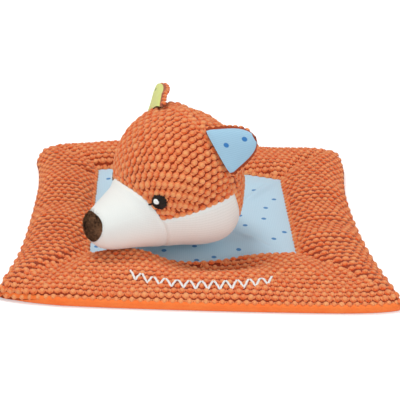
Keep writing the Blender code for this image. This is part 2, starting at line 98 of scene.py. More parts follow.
air = bpy.data.worlds.new("studio_air")
bpy.context.scene.world = air
air.use_nodes = True
tree = air.node_tree
tree.nodes.clear()
soft_air = add_node(tree, "Background", {"Color": (0.93, 0.97, 1.0, 1), "Strength": 0.55})
white_air = add_node(tree, "Background", {"Color": (1, 1, 1, 1)})
pick = add_node(tree, "MixShader", {"Fac": add_node(tree, "LightPath").outputs["Is Camera Ray"],
                                    1: soft_air.outputs[0], 2: white_air.outputs[0]})
add_node(tree, "OutputWorld", {"Surface": pick.outputs[0]})

for name, place, target, size, watts, colour in (
        ("key_softbox", (-0.25, 0.0, 1.0), (0, 0, 0), 0.4, 4.8, (1.0, 0.99, 0.97)),
        ("side_softbox", (0.75, -0.7, 0.3), (0, 0, 0), 0.6, 1.4, (0.88, 0.96, 1.0)),
        ("front_softbox", (-0.1, -1.0, 0.03), (0, 0, 0.01), 0.7, 4.0, (0.77, 0.93, 1.0))):
    lamp_data = bpy.data.lights.new(name, "AREA")
    lamp_data.shape = "DISK"
    lamp_data.size = size
    lamp_data.energy = watts
    lamp_data.color = colour
    lamp = add_object(name, lamp_data)
    lamp.location = place
    lamp.rotation_euler = (Vector(target) - Vector(place)).to_track_quat("-Z", "Y").to_euler()

sweep_mesh = bpy.data.meshes.new("white_sweep")
sweep_mesh.from_pydata([(x * sweep_half, y * sweep_half, -sweep_drop)
                        for x, y in ((-1, -1), (1, -1), (1, 1), (-1, 1))], [], [(0, 1, 2, 3)])
sweep = add_object("white_sweep", sweep_mesh)
sweep_paper = bpy.data.materials.new("white_sweep_paper")
sweep_paper.use_nodes = True
tree = sweep_paper.node_tree
paper = tree.nodes["Principled BSDF"]
feed(paper, {"Base Color": (0.8, 0.8, 0.8, 1), "Roughness": 0.9})
strength = add_node(tree, "Math", {0: add_node(tree, "LightPath").outputs["Is Camera Ray"], 1: sweep_glow},
                    operation="MULTIPLY")
glow = add_node(tree, "Emission", {"Strength": strength.outputs[0]})
both = add_node(tree, "AddShader", {0: paper.outputs[0], 1: glow.outputs[0]})
feed(tree.nodes["Material Output"], {"Surface": both.outputs[0]})
sweep_mesh.materials.append(sweep_paper)

# Plan of the blanket: a padded border round a jersey panel. a and b run from -2 to 2 across and along it; the
# panel lies between -1 and 1, and its front seam is pulled forward where the head is sewn on.
half_width, half_depth = 66 * mm, 65.5 * mm
left_draw_in, right_draw_in, back_draw_in = 3.6 * mm, 5.2 * mm, 1 * mm
front_flare, front_bulge, front_skew = 1.3 * mm, 1.8 * mm, 3.0 * mm
front_corner_inset, back_left_inset, back_right_inset = 2.5 * mm, 5.2 * mm, 3.5 * mm
front_corner_flare, back_left_flare, back_right_flare = 2.2 * mm, 2.2 * mm, 1.3 * mm
front_flare_start, back_flare_start, back_flare_reach = 0.7, 0.5, 0.8
corner_sharpness = 3.5
corner_lift, lift_start, lift_reach = 0.3 * mm, 85 * mm, 45 * mm
corner_tuck, tuck_start, tuck_reach = 2.2 * mm, 112 * mm, 14 * mm
panel_left, panel_right, panel_front = 39.2 * mm, 36 * mm, 33 * mm
panel_front_pull, front_pull_shift, front_pull_reach = 7 * mm, 3 * mm, 30 * mm
panel_back_left, panel_back_right, panel_back_bow = 43 * mm, 34 * mm, 6 * mm
panel_seam_height = 4.3 * mm
border_crown, edge_top_height = 9.0 * mm, 4.9 * mm
mitre_dip, mitre_dip_share = 1.3 * mm, 0.13
middle_x = -1 * mm


def front_seam(x):
    reach = np.clip(1 - ((x + front_pull_shift) / front_pull_reach) ** 2, 0.0, 1.0)
    return -(panel_front + panel_front_pull * reach ** 2)


def back_seam(x):
    share = (x + panel_left) / (panel_left + panel_right)
    straight = panel_back_left + (panel_back_right - panel_back_left) * share
    return straight + panel_back_bow * np.clip(4 * share * (1 - share), 0.0, 1.0)


def shares_out(a, b):
    """How far a point lies out across the side and the front or back border, each from 0 to 1."""
    return np.clip(np.abs(a), 1, 2) - 1, np.clip(np.abs(b), 1, 2) - 1


def plan(a, b):
    a, b = np.broadcast_arrays(np.asarray(a, float), np.asarray(b, float))
    along, deep = shares_out(a, b)
    bow_x, bow_y = 1 - (a / 2) ** 2, 1 - (b / 2) ** 2
    at_front = np.clip(-b - front_flare_start, 0, None) ** 2
    at_back = np.clip((b - back_flare_start) / back_flare_reach, 0, 1) ** 1.5
    edge = half_width - front_flare * b / 2 + front_corner_flare * at_front
    edge = edge + np.where(a > 0, back_right_flare, back_left_flare) * at_back
    middle = (panel_right - panel_left) / 2 + a * (panel_left + panel_right) / 2
    right_x = panel_right + along * (edge - right_draw_in * bow_y - panel_right)
    left_x = -panel_left - along * (edge - left_draw_in * bow_y - panel_left)
    x = np.where(a > 1, right_x, np.where(a < -1, left_x, middle))
    inner_x = np.clip(x, -panel_left, panel_right)
    low, high = front_seam(inner_x), back_seam(inner_x)
    front_reach = half_depth + front_bulge * bow_x + front_skew * x / half_width
    y = np.where(b > 1, high + deep * (half_depth - back_draw_in * bow_x - high),
                 np.where(b < -1, low - deep * (front_reach + low), low + (high - low) * (b + 1) / 2))
    back_inset = np.where(a > 0, back_right_inset, back_left_inset)
    inset = np.where(b > 0, back_inset, front_corner_inset) * (along * deep) ** corner_sharpness
    return x - np.sign(a) * inset, y - np.sign(b) * inset


def lifted(x, y):
    """How far the front left corner curls up off the table."""
    return corner_lift * np.clip((-x - y - lift_start) / lift_reach, 0, 1) ** 2


def tucked(x, y):
    """How far the knit comes down over the hem at the front left corner."""
    return corner_tuck * np.clip((-x - y - tuck_start) / tuck_reach, 0, 1)


def border_height(across, mitre, front_share):
    """Height over the border; where front_share is 1 its crest lies near the panel and slopes to the hem."""
    straight = panel_seam_height + (edge_top_height - panel_seam_height) * across
    shifted = across ** (1 - 0.4 * front_share)
    puff = np.clip(1 - np.abs(2 * shifted - 1) ** (3 - 1.2 * front_share), 0.0, 1.0) ** 0.8
    dip = mitre_dip * np.exp(-(mitre / mitre_dip_share) ** 2) * puff
    return straight + (border_crown - (panel_seam_height + edge_top_height) / 2) * puff - dip


# Border cushion: four padded strips of moss-stitch knit, mitred at the corners, sewn to the panel inside and
# to the fleece backing outside. Each cross-section runs from the hem, over the crown, down to the panel's
# seam. A soft fold has a place, reach and spread in mm, a bearing in degrees and a rise in mm.
stitch_rise, hem_height = 0.75 * mm, 3.0 * mm
cushion_rows, cushion_columns, rim_rows = 34, 96, 4
rim_share, front_share_reach, fold_fade = 0.965, 0.3, 2 * mm
round_share = np.linspace(0, 1, cushion_rows - rim_rows)
section_deep = np.concatenate([[1.0], np.full(rim_rows - 1, rim_share),
                               rim_share * (0.5 + 0.5 * np.cos(math.pi * round_share))])
section_rim = np.concatenate([np.linspace(0, 1, rim_rows + 1)[:-1], np.ones(cushion_rows - rim_rows)])
border_folds = [
    (-56, -12, 14, 6, 0, 0.8), (-52, 2, 16, 5, 0, -0.9), (-58, 24, 18, 7, -15, 1.0),
    (-41, -26, 5, 9, 0, -1.2), (-43, 35, 7, 1.8, 150, -1.6), (-47, -47, 17, 3.2, 46, -2.2),
    (52, -25, 18, 5, 0, 1.0), (40, -39, 6, 5, 0, -1.0), (50, -13, 14, 4, 0, -0.8),
    (50, 17, 14, 5, 0, 0.8), (50, 4, 16, 5, 0, -0.6),
    (47, -52, 15, 3.0, -47, -1.6), (46, 47, 17, 2.5, 45, -0.6), (0, -46, 13, 6, 0, -3.4),
    (-21, -40, 9, 5, 0, 1.8), (12, -58, 14, 6, 0, 0.5), (14, -44, 12, 6, 0, -3.8), (23, -40, 8, 5, 0, -1.2),
    (-20, -58, 12, 4, 0, -0.6), (-30, 58, 15, 9, 0, 1.8),
]


def fold_rise(x, y, folds):
    """Height in mm that soft folds add at x, y."""
    total = np.zeros(np.shape(x))
    for fold_at_x, fold_at_y, reach, spread, bearing, rise in folds:
        turn = math.radians(bearing)
        off_x, off_y = x / mm - fold_at_x, y / mm - fold_at_y
        down = (off_x * math.cos(turn) + off_y * math.sin(turn)) / reach
        wide = (off_y * math.cos(turn) - off_x * math.sin(turn)) / spread
        total = total + rise * np.exp(-down ** 2 - wide ** 2)
    return total


def cushion_point(a, b):
    """Points on the cushion's base cloth; the last axis of a and b runs over the cross-section."""
    a, b, rim = np.broadcast_arrays(a, b, section_rim)
    x, y = plan(a, b)
    along, deep = shares_out(a, b)
    mitre = np.where((along > 0) & (deep > 0), np.abs(along - deep), 1.0)
    front_share = np.where(b < 0, np.clip((deep - along) / front_share_reach, 0, 1), 0.0)
    top = border_height(np.clip(np.maximum(along, deep) / rim_share, 0, 1), mitre, front_share) - stitch_rise
    top = top + fold_rise(x, y, border_folds) * mm * np.clip((top - panel_seam_height) / fold_fade, 0, 1)
    bottom = hem_height - tucked(x, y)
    return np.stack([x, y, bottom + (top - bottom) * rim + lifted(x, y)], -1)


def strip_grid(side, count):
    """Points of one strip, on count lines across it, and how far each line lies along its mitres."""
    across = np.linspace(-2, 2, count)[:, None]
    out = (1 + section_deep) * (-1 if side in ("front", "left") else 1)
    grid = cushion_point(across, out) if side in ("front", "back") else cushion_point(out, across)
    return grid, shares_out(across, 0)[0]


def ring_grid(count):
    """The whole border as one loop of lines across it, count to each strip, that turn with the mitres."""
    out = (1 + section_deep)[None]
    wide = np.linspace(-1, 1, count, endpoint=False)[:, None] * out
    sides = ((wide, -out), (out, wide), (-wide, out), (-out, -wide))
    return np.concatenate([cushion_point(a, b) for a, b in sides])


def grid_faces(rows, columns, loop_rows=False, loop_columns=False):
    """Faces of a grid of points, closed to a loop over its rows or its columns where that is asked for."""
    i = np.arange(rows if loop_rows else rows - 1)[:, None]
    j = np.arange(columns if loop_columns else columns - 1)[None, :]
    next_i, next_j = (i + 1) % rows, (j + 1) % columns
    corners = [i * columns + j, next_i * columns + j, next_i * columns + next_j, i * columns + next_j]
    return np.stack(corners, -1).reshape(-1, 4)


def unit(ways):
    return ways / np.maximum(np.linalg.norm(ways, axis=-1, keepdims=True), 1e-12)


def grid_normals(grid):
    return unit(np.cross(np.gradient(grid, axis=0), np.gradient(grid, axis=1)))


def reach_along(grid, axis=0):
    """How far along the cloth each point of a grid lies from the first line."""
    steps = np.cumsum(np.linalg.norm(np.diff(grid, axis=axis), axis=-1), axis)
    return np.concatenate([np.zeros_like(np.take(steps, [0], axis)), steps], axis)


def sample(grid, row, column):
    """Values between the points of a grid, at fractional rows and columns."""
    low_r = np.clip(row.astype(int), 0, grid.shape[0] - 2)
    low_c = np.clip(column.astype(int), 0, grid.shape[1] - 2)
    r, c = row - low_r, column - low_c
    if grid.ndim == 3:
        r, c = r[:, None], c[:, None]
    return ((grid[low_r, low_c] * (1 - r) + grid[low_r + 1, low_c] * r) * (1 - c)
            + (grid[low_r, low_c + 1] * (1 - r) + grid[low_r + 1, low_c + 1] * r) * c)


def build_piece(name, parts, mats):
    """One mesh object from parts: dicts of points, batches of faces, slot, and per-point uv (mm) and tone."""
    points, faces, slots, uvs, tones = [], [], [], [], []
    base = 0
    for part in parts:
        count = len(part["points"])
        points.append(np.asarray(part["points"], float))
        for batch in part["faces"]:
            faces += (np.asarray(batch) + base).tolist()
            slots.append(np.full(len(batch), part.get("slot", 0)))
        uvs.append(part.get("uv", np.zeros((count, 2))))
        tones.append(np.broadcast_to(part.get("tone", 0.5), (count,)))
        base += count
    mesh = bpy.data.meshes.new(name)
    mesh.from_pydata(np.concatenate(points).tolist(), [], faces)
    mesh.polygons.foreach_set("material_index", np.concatenate(slots).astype(np.int32))
    mesh.shade_smooth()
    corners = np.zeros(len(mesh.loops), np.int32)
    mesh.loops.foreach_get("vertex_index", corners)
    layer = mesh.uv_layers.new(name="cloth")
    layer.data.foreach_set("uv", np.concatenate(uvs)[corners].astype(np.float32).ravel())
    tone = mesh.attributes.new("tone", "FLOAT", "POINT")
    tone.data.foreach_set("value", np.concatenate(tones).astype(np.float32))
    for mat in mats:
        mesh.materials.append(mat)
    return add_object(name, mesh)


def hand_over(piece, slot, *nodes, body=None, fill=None):
    """Hide the nodes a piece stands for, where named, and attach it to its body where one is named; slot and
    fill are not used.
    """
    if nodes:
        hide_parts(*nodes)
    if body:
        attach(piece, body)


def bend_at_fold(piece):
    """Bake a piece of the blanket's placement into its mesh."""
    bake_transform(piece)


def half_of(points, faces, sign):
    """The part of a mesh that lies on one side of the blanket's middle."""
    chosen = faces[(points[faces].mean(1)[:, 0] - middle_x) * sign >= 0]
    used, renumbered = np.unique(chosen, return_inverse=True)
    return {"points": points[used], "faces": [renumbered.reshape(chosen.shape)]}


# Moss stitches: each is a short hump of two-ply yarn, with the lower legs of the stitches between them. A
# hump is modelled once, as a rounded dome that dips at its rim into the cloth, and set along the rows of each
# strip with small differences of size, turn and tone. Each hump is painted paler towards its top, a painted
# highlight where the yarn stands proud, and the legs start a little darker, painted shade where they lie low.
dice = np.random.default_rng(7)
row_limit = 34
first_row_inset, seam_row_inset, mitre_overlap = 1.1 * mm, 0.9 * mm, 0.03
row_drift, row_drift_length, row_waver, row_waver_length = 0.3 * mm, 11 * mm, 0.2 * mm, 5 * mm
spot_drift, spot_drift_length, spot_scatter = 0.35 * mm, 13 * mm, 0.08 * mm
rim_dip, turn_scatter, size_scatter, tone_scatter, top_highlight_gain = 0.35, 0.12, 0.06, 0.12, 0.75
leg_shift, leg_long, leg_wide, leg_rise, leg_slant = 0.36, 0.9, 0.42, 0.42, 0.4


def hump_shape(rings, sides):
    turn = np.linspace(0, 2 * math.pi, sides, endpoint=False)
    points = [np.array([[0.0, 0.0, 1.0]])]
    for r in rings:
        lift = max(1 - r ** 2.2, 0.0) ** 0.6 - (rim_dip if r == 1.0 else 0.0)
        points.append(np.stack([r * np.cos(turn), r * np.sin(turn), lift + 0 * turn], -1))
    tip = [(0, 1 + j, 1 + (j + 1) % sides) for j in range(sides)]
    return np.concatenate(points), np.array(tip), 1 + grid_faces(len(rings), sides, loop_columns=True)


bead_shape = hump_shape((0.38, 0.68, 0.9, 1.0), 9)
leg_shape = hump_shape((0.6, 1.0), 7)


def hump_part(places, ways, normals, half_long, half_wide, rise, shape=bead_shape, paleness=0.06, slant=0.0):
    """Humps at places, turned by slant from the direction of ways, as one part for build_piece."""
    local_points, tip, quads = shape
    count = len(places)
    sides = unit(np.cross(normals, ways))
    ways = np.cross(sides, normals)
    turn = dice.normal(slant, turn_scatter, count)[:, None]
    long_way = ways * np.cos(turn) + sides * np.sin(turn)
    wide_way = sides * np.cos(turn) - ways * np.sin(turn)
    size = 1 + dice.normal(0, size_scatter, (count, 3))
    local = local_points[None] * (size * [half_long, half_wide, rise])[:, None]
    spots = (places[:, None] + local[..., :1] * long_way[:, None] + local[..., 1:2] * wide_way[:, None]
             + local[..., 2:] * normals[:, None])
    uv = local[..., :2] / mm + dice.uniform(0, 20, (count, 1, 2))
    tone = dice.normal(paleness, tone_scatter, (count, 1))
    # Painted highlight: the tone rises towards each hump's top.
    tone = tone + top_highlight_gain * np.clip(local_points[None, :, 2], 0, 1) ** 2
    starts = np.arange(count)[:, None, None] * len(local_points)
    return {"points": spots.reshape(-1, 3), "uv": uv.reshape(-1, 2), "tone": np.clip(tone, 0, 1).ravel(),
            "faces": [(starts + tip).reshape(-1, 3), (starts + quads).reshape(-1, 4)]}


def stitch_parts(places, ways, outs, is_leg, half_long, half_wide, rise, slant=0.0):
    """Beads where is_leg is false, and where it is true the two lower legs of a stitch as a V."""
    bead, leg = ~is_leg, is_leg
    parts = [hump_part(places[bead], ways[bead], outs[bead], half_long, half_wide, rise, slant=slant)]
    across = np.cross(outs[leg], ways[leg])
    for side in (-1, 1):
        spots = places[leg] + side * leg_shift * half_long * ways[leg]
        # The legs take a lower tone than the beads: painted shade where they lie low between them.
        parts.append(hump_part(spots, across, outs[leg], leg_long * half_wide, leg_wide * half_long,
                               leg_rise * rise, leg_shape, 0.0, slant + side * leg_slant))
    return parts


def rows_on_strip(side, grid, along, pitch, row_step):
    """Places, ways and normals of one strip's stitches, in rows parallel to the hem, and which are legs."""
    normals = grid_normals(grid)
    normals *= np.sign(normals[:, cushion_rows // 2, 2].mean())
    reach = reach_along(grid, 1)
    key = 0 if side in ("front", "back") else 1
    order, section = np.arange(len(grid)), np.arange(cushion_rows)
    way_along = grid[:, 0, key]
    ends = reach[:, -1] - seam_row_inset
    found = []
    for row in range(row_limit + 1):
        drift = (row_drift * np.sin(way_along / row_drift_length + row * 0.35)
                 + row_waver * np.sin(way_along / row_waver_length - row))
        at_seam = row == row_limit
        far = ends if at_seam else first_row_inset + row * row_step + drift * min(row, 3) / 3
        keep_line = (far < ends - 0.4 * row_step) | at_seam
        spot = np.array([np.interp(far[m], reach[m], section) for m in order])
        line, out_line = sample(grid, order, spot), sample(normals, order, spot)
        deep = np.interp(spot, section, section_deep)
        step = pitch / 2 if at_seam and key else pitch
        start = way_along.min() + (row % 2) * step / 2 + dice.uniform(0, 0.15) * mm
        spots = np.arange(start, line[:, key].max(), step / 2)
        legs = np.arange(len(spots)) % 2 == 1
        spots = spots + spot_drift * np.sin(spots / spot_drift_length + row * row_step / row_waver_length)
        where = np.interp(spots, line[:, key], order)
        low = np.clip(where.astype(int), 0, len(grid) - 2)
        share = (where - low)[:, None]
        point, out = (values[low] * (1 - share) + values[low + 1] * share for values in (line, out_line))
        keep = np.interp(where, order, deep) - np.interp(where, order, along[:, 0]) > -mitre_overlap
        kept = np.concatenate([point, line[low + 1] - line[low], out, legs[:, None]], 1)
        found.append(kept[keep & keep_line[low]])
    found = np.concatenate(found)
    places, ways, outs, is_leg = found[:, :3], unit(found[:, 3:6]), unit(found[:, 6:9]), found[:, 9] > 0.5
    return places + ways * dice.normal(0, spot_scatter, (len(places), 1)), ways, outs, is_leg


def start_group(name, *inputs):
    """A new node group that takes two colours and a size, and puts out a colour and a height."""
    group = bpy.data.node_groups.new(name, "ShaderNodeTree")
    for title, kind in zip(inputs, ("NodeSocketColor", "NodeSocketColor", "NodeSocketFloat")):
        group.interface.new_socket(title, in_out="INPUT", socket_type=kind)
    group.interface.new_socket("Colour", in_out="OUTPUT", socket_type="NodeSocketColor")
    group.interface.new_socket("Height", in_out="OUTPUT", socket_type="NodeSocketFloat")
    return group, group.nodes.new("NodeGroupInput").outputs


def end_group(group, given, share, height):
    """Blend from the group's second colour to its first by share, and put out the blend and the height."""
    blend = add_node(group, "Mix", {"Factor": share, "A": given[1], "B": given[0]}, data_type="RGBA")
    feed(group.nodes.new("NodeGroupOutput"), {"Colour": blend.outputs["Result"], "Height": height})
    return group


def figure(tree, kind, *values):
    return add_node(tree, "Math", dict(enumerate(values)), operation=kind).outputs[0]


def noise(tree, place, scale, detail, roughness=0.5):
    return add_node(tree, "TexNoise", {"Vector": place, "Scale": scale, "Detail": detail,
                                       "Roughness": roughness}).outputs["Fac"]


def tone_value(tree):
    return add_node(tree, "Attribute", attribute_name="tone").outputs["Fac"]


def yarn_group():
    """Twisted strands of two-ply yarn, from the cloth's own coordinates in mm; the colour goes from the shade
    to the lit colour with the strands' height and the tone, as painted shade in the grooves and painted
    highlight on the crowns.
    """
    group, given = start_group("twisted_yarn", "Lit Colour", "Shade Colour", "Strand Width")
    place = add_node(group, "UVMap", uv_map="cloth").outputs["UV"]
    apart = add_node(group, "SeparateXYZ", {0: place}).outputs
    lean = figure(group, "MULTIPLY_ADD", apart["X"], 0.75, apart["Y"])
    bend = figure(group, "MULTIPLY_ADD", noise(group, place, 1.3, 3.0), 0.5, lean)
    turns = figure(group, "DIVIDE", bend, given["Strand Width"])
    wave = figure(group, "SINE", figure(group, "MULTIPLY", turns, 2 * math.pi))
    height = figure(group, "MULTIPLY_ADD", wave, 0.5, noise(group, place, 7.0, 4.0))
    return end_group(group, given, figure(group, "MULTIPLY_ADD", height, 0.22, tone_value(group)), height)


def srgb(levels):
    levels = np.array(levels) / 255
    return (*np.where(levels <= 0.04045, levels / 12.92, ((levels + 0.055) / 1.055) ** 2.4), 1.0)


def cloth_material(name, group, lit, shade, width, depth, finish, dots=None):
    """A material on a cloth group; dots are a colour and a radius, and the tone is then the gap to a dot."""
    mat = bpy.data.materials.new(name)
    mat.use_nodes = True
    tree = mat.node_tree
    cloth = add_node(tree, "Group", {0: srgb(lit), 1: srgb(shade), 2: width}, node_tree=group)
    colour = cloth.outputs["Colour"]
    if dots:
        dot_colour, radius = dots
        edge = add_node(tree, "MapRange", {"Value": tone_value(tree), "From Min": radius + 0.1,
                                           "From Max": radius - 0.1})
        colour = add_node(tree, "Mix", {"Factor": edge.outputs["Result"], "A": colour, "B": srgb(dot_colour)},
                          data_type="RGBA").outputs["Result"]
    bump = add_node(tree, "Bump", {"Distance": depth, "Height": cloth.outputs["Height"]})
    feed(tree.nodes["Principled BSDF"], {"Base Color": colour, "Normal": bump.outputs["Normal"], **finish})
    return mat


twisted_yarn = yarn_group()


def yarn_material(name, lit, shade, strand, depth, sheen=0.8):
    return cloth_material(name, twisted_yarn, lit, shade, strand, depth, {
        "Roughness": 0.85, "Specular IOR Level": 0.12, "Sheen Weight": sheen, "Sheen Roughness": 0.5,
        "Sheen Tint": srgb((255, 200, 170))})


orange_yarn = yarn_material("orange_yarn", (255, 170, 108), (236, 88, 28), 0.75, 0.13 * mm)
# The knit's ground between the stitches is the same yarn painted much darker: painted shade in the gaps
# between stitches.
shaded_yarn_ground = yarn_material("yarn_between_stitches_in_shade", (178, 66, 26), (120, 38, 12), 0.8, 0.05 * mm)

stitch_sets = []
for side, pitch, row_step, half_long, half_wide, rise, slant in (
        ("front", 2.7, 2.15, 1.1, 1.25, 1.2, 0.0), ("back", 2.8, 2.4, 1.12, 1.4, 1.15, 0.0),
        ("left", 5.4, 1.35, 1.2, 1.05, 1.15, -0.5), ("right", 5.6, 1.4, 1.25, 1.1, 1.15, 0.0)):
    places, ways, outs, is_leg = rows_on_strip(side, *strip_grid(side, 120), pitch * mm, row_step * mm)
    if side in ("left", "right"):
        ways = np.cross(outs, ways)
    sizes = half_long * mm, half_wide * mm, rise * stitch_rise, slant
    stitch_sets.append(((places, ways, outs, is_leg), *sizes))

ring = ring_grid(cushion_columns)
for side, sign, others in (("left", -1, ["knit_front", "wadding_front"]),
                           ("right", 1, ["knit_back", "wadding_back"])):
    ground = half_of(ring.reshape(-1, 3), grid_faces(len(ring), cushion_rows, loop_rows=True), sign)
    parts = [{**ground, "slot": 1, "uv": ground["points"][:, :2] / mm, "tone": 0.3}]
    for stitches, *sizes in stitch_sets:
        here = (stitches[0][:, 0] - middle_x) * sign >= 0
        parts += stitch_parts(*(values[here] for values in stitches), *sizes)
    border = build_piece(side + "_border", parts, [orange_yarn, shaded_yarn_ground])
    hand_over(border, "knit", "knit_" + side, f"knit_front_{side}_corner", f"knit_back_{side}_corner",
              "wadding_" + side, *others, fill=0.6)
    bend_at_fold(border)

# Backing: plain bright orange fleece that covers the underside and turns up round the edge as a narrow hem,
# to which the knit is sewn all round. The hem's section gives how far it stands out and its height, in mm.
hem_section = [(-2.0, 0.02), (-0.55, 0.02), (-0.1, 0.35), (0.15, 1.0), (0.35, 1.7), (0.3, 2.4), (0.1, 2.95),
               (-0.5, 3.35)]
side_tuck, corner_tuck_share = 0.7 * mm, 0.35
under_count, under_reach, under_height = 60, 1.95, 0.02 * mm


def fleece_group():
    """Brushed nap of a fleece: patches of shade and a fine uneven height, from object coordinates."""
    group, given = start_group("brushed_nap", "Lit Colour", "Shade Colour", "Nap Size")
    place = add_node(group, "TexCoord").outputs["Object"]
    fine = noise(group, place, figure(group, "DIVIDE", 1.0, given["Nap Size"]), 5.0, 0.65)
    share = figure(group, "MULTIPLY_ADD", noise(group, place, 160.0, 2.0), 1.8,
                   figure(group, "MULTIPLY_ADD", fine, 1.8, -1.3))
    return end_group(group, given, share, fine)


brushed_nap = fleece_group()


def fleece_material(name, lit, shade, nap, depth, sheen):
    return cloth_material(name, brushed_nap, lit, shade, nap, depth, {
        "Roughness": 0.9, "Specular IOR Level": 0.2, "Sheen Weight": sheen, "Sheen Roughness": 0.6})


orange_fleece = fleece_material("orange_fleece", (255, 132, 62), (252, 114, 46), 0.0006, 0.06 * mm, 0.1)
edge_line = ring[:, 0, :2]
ahead = np.roll(edge_line, -1, 0) - np.roll(edge_line, 1, 0)
outward = unit(np.stack([ahead[:, 1], -ahead[:, 0]], -1))
tuck = -side_tuck * outward[:, :1] ** 2 - corner_tuck_share * tucked(edge_line[:, :1], edge_line[:, 1:])
hem_out, hem_up = np.array(hem_section).T[:, None, :, None] * mm
hem_flat = edge_line[:, None] + outward[:, None] * (hem_out + tuck[:, None])
hem = np.concatenate([hem_flat, hem_up + lifted(hem_flat[..., :1], hem_flat[..., 1:])], -1)
under_lines = np.linspace(-under_reach, under_reach, under_count)
under_x, under_y = plan(*np.meshgrid(under_lines, under_lines, indexing="ij"))
under = np.stack([under_x, under_y, lifted(under_x, under_y) + under_height], -1)
for side, sign, nodes in (("left", -1, ["backing_left", "backing_centre"]), ("right", 1, ["backing_right"])):
    parts = [half_of(hem.reshape(-1, 3), grid_faces(len(ring), len(hem_section), loop_rows=True), sign),
             half_of(under.reshape(-1, 3), grid_faces(under_count, under_count), sign)]
    backing = build_piece(side + "_backing", parts, [orange_fleece])
    hand_over(backing, "backing", *nodes, fill=0.2)
    bend_at_fold(backing)

# Panel: light blue cotton jersey with small darker dots, sewn into the border over a thin layer of wadding.
# The head is sewn down on it near the front, which pulls low folds into the cloth. Dots are placed in mm.
panel_count = 150
panel_rise, seam_sunk = 0.9 * mm, 0.4 * mm
dot_places = [
    (24, 21.5), (31.5, 14.5), (27.5, 5.5), (26, -4.5), (18.5, -10.5), (17, -2), (33, -14.5), (28.5, -21),
    (15, -29.5), (24, -33.5), (5.8, -35.1), (-0.5, -37.5), (-12.1, -31), (-36.5, -27.4), (-32.3, -30.9),
    (-34.5, 33), (-27, 39), (-26, 27), (-19, 33), (-12, 40), (-9, 28), (-1, 34), (4, 42), (9, 31), (13, 38),
    (6, 22), (-4, 16), (-15, 18), (-25, 13), (-22, 3), (-27, -9), (-26, -19), (-15, -20), (6, 9), (4, -16),
    (-9, 5), (0, -4), (-17, -6), (-1, -28),
]
panel_folds = [
    (31, 28, 10, 1.6, 238, 1.3), (25, 18, 11, 1.4, 236, 1.3), (28, 13, 9, 2.0, 236, -0.6),
    (17, -18, 6, 2.0, -42, -0.8), (21.5, -23, 8, 1.3, -52, 1.4), (29, -29, 8, 1.4, -22, 1.4),
    (13, -33, 8, 3.0, 10, -0.6), (-33, 14, 9, 2.5, 75, 0.5), (0, 32, 12, 3.0, 10, 0.4),
    (31, 0, 10, 3.0, 80, 0.5),
]


def jersey_group():
    """Fine jersey: columns of small V stitches, from the cloth's own coordinates in mm, with painted shade:
    the groove colour, darker, where the stitches lie low.
    """
    group, given = start_group("fine_jersey", "Cloth Colour", "Groove Shade Colour", "Wale Width")
    place, wale = add_node(group, "UVMap", uv_map="cloth").outputs["UV"], given["Wale Width"]
    apart = add_node(group, "SeparateXYZ", {0: place}).outputs
    across = figure(group, "MULTIPLY_ADD", noise(group, place, 0.8, 2.0), 0.35, apart["X"])
    column = figure(group, "PINGPONG", figure(group, "DIVIDE", across, wale), 0.5)
    down = figure(group, "DIVIDE", apart["Y"], figure(group, "MULTIPLY", wale, 0.8))
    course = figure(group, "PINGPONG", figure(group, "ADD", down, column), 0.5)
    round_back = figure(group, "SQRT", figure(group, "MULTIPLY", column, 2.0))
    height = figure(group, "MULTIPLY_ADD", noise(group, place, 5.0, 3.0), 0.4,
                    figure(group, "MULTIPLY_ADD", course, 0.7, round_back))
    return end_group(group, given, figure(group, "MULTIPLY", height, 0.75), height)


fine_jersey = jersey_group()


def jersey_material(name, cloth_colour, groove_shade_colour, wale, depth, dots=None):
    return cloth_material(name, fine_jersey, cloth_colour, groove_shade_colour, wale, depth, {
        "Roughness": 0.85, "Specular IOR Level": 0.25, "Sheen Weight": 0.2}, dots)


def gap_to_dots(x, y, dots):
    return np.min([np.hypot(x - dot_x, y - dot_y) for dot_x, dot_y in dots], 0)


blue_jersey = jersey_material("dotted_blue_jersey", (192, 219, 234), (178, 207, 224), 0.7, 0.014 * mm,
                              ((70, 134, 190), 0.95))
share_a, share_b = np.meshgrid(*[np.linspace(-1, 1, panel_count)] * 2, indexing="ij")
panel_x, panel_y = plan(share_a, share_b)
inside = np.clip(3 * np.minimum(1 - np.abs(share_a), 1 - np.abs(share_b)), 0, 1)
panel_z = panel_seam_height - seam_sunk + panel_rise * inside ** 2 * (3 - 2 * inside)
panel_z = panel_z + fold_rise(panel_x, panel_y, panel_folds) * mm * inside
panel_grid = np.stack([panel_x, panel_y, panel_z], -1)
dot_gap = gap_to_dots(panel_x / mm, panel_y / mm, dot_places)
split = int(np.argmin(np.abs(panel_x[:, 0] - middle_x)))
for side, sign, here, nodes in (("left", -1, slice(0, split + 1), ["centre_panel", "wadding_centre"]),
                                ("right", 1, slice(split, panel_count), [])):
    cloth, faces = panel_grid[here].reshape(-1, 3), grid_faces(len(panel_grid[here]), panel_count)
    panel = build_piece(side + "_panel", [{"points": cloth, "faces": [faces], "uv": cloth[:, :2] / mm,
                                           "tone": dot_gap[here].ravel()}], [blue_jersey])
    hand_over(panel, "blue_jersey", *nodes)
    wide, deep = (float(size) for size in np.ptp(cloth, 0)[:2])
    bend_at_fold(panel)

# Zigzag stitching: a decorative line of thick white embroidery thread sewn through the front border. It sags
# towards the hem in the middle.
zigzag_left, zigzag_right, zigzag_count = -24 * mm, 25 * mm, 24
zigzag_middle, zigzag_half, zigzag_slope = -61 * mm, 2.1 * mm, -0.08
zigzag_bow_radius = 61.25 * mm
zigzag_thread = (0.42 * mm, 0.3 * mm)


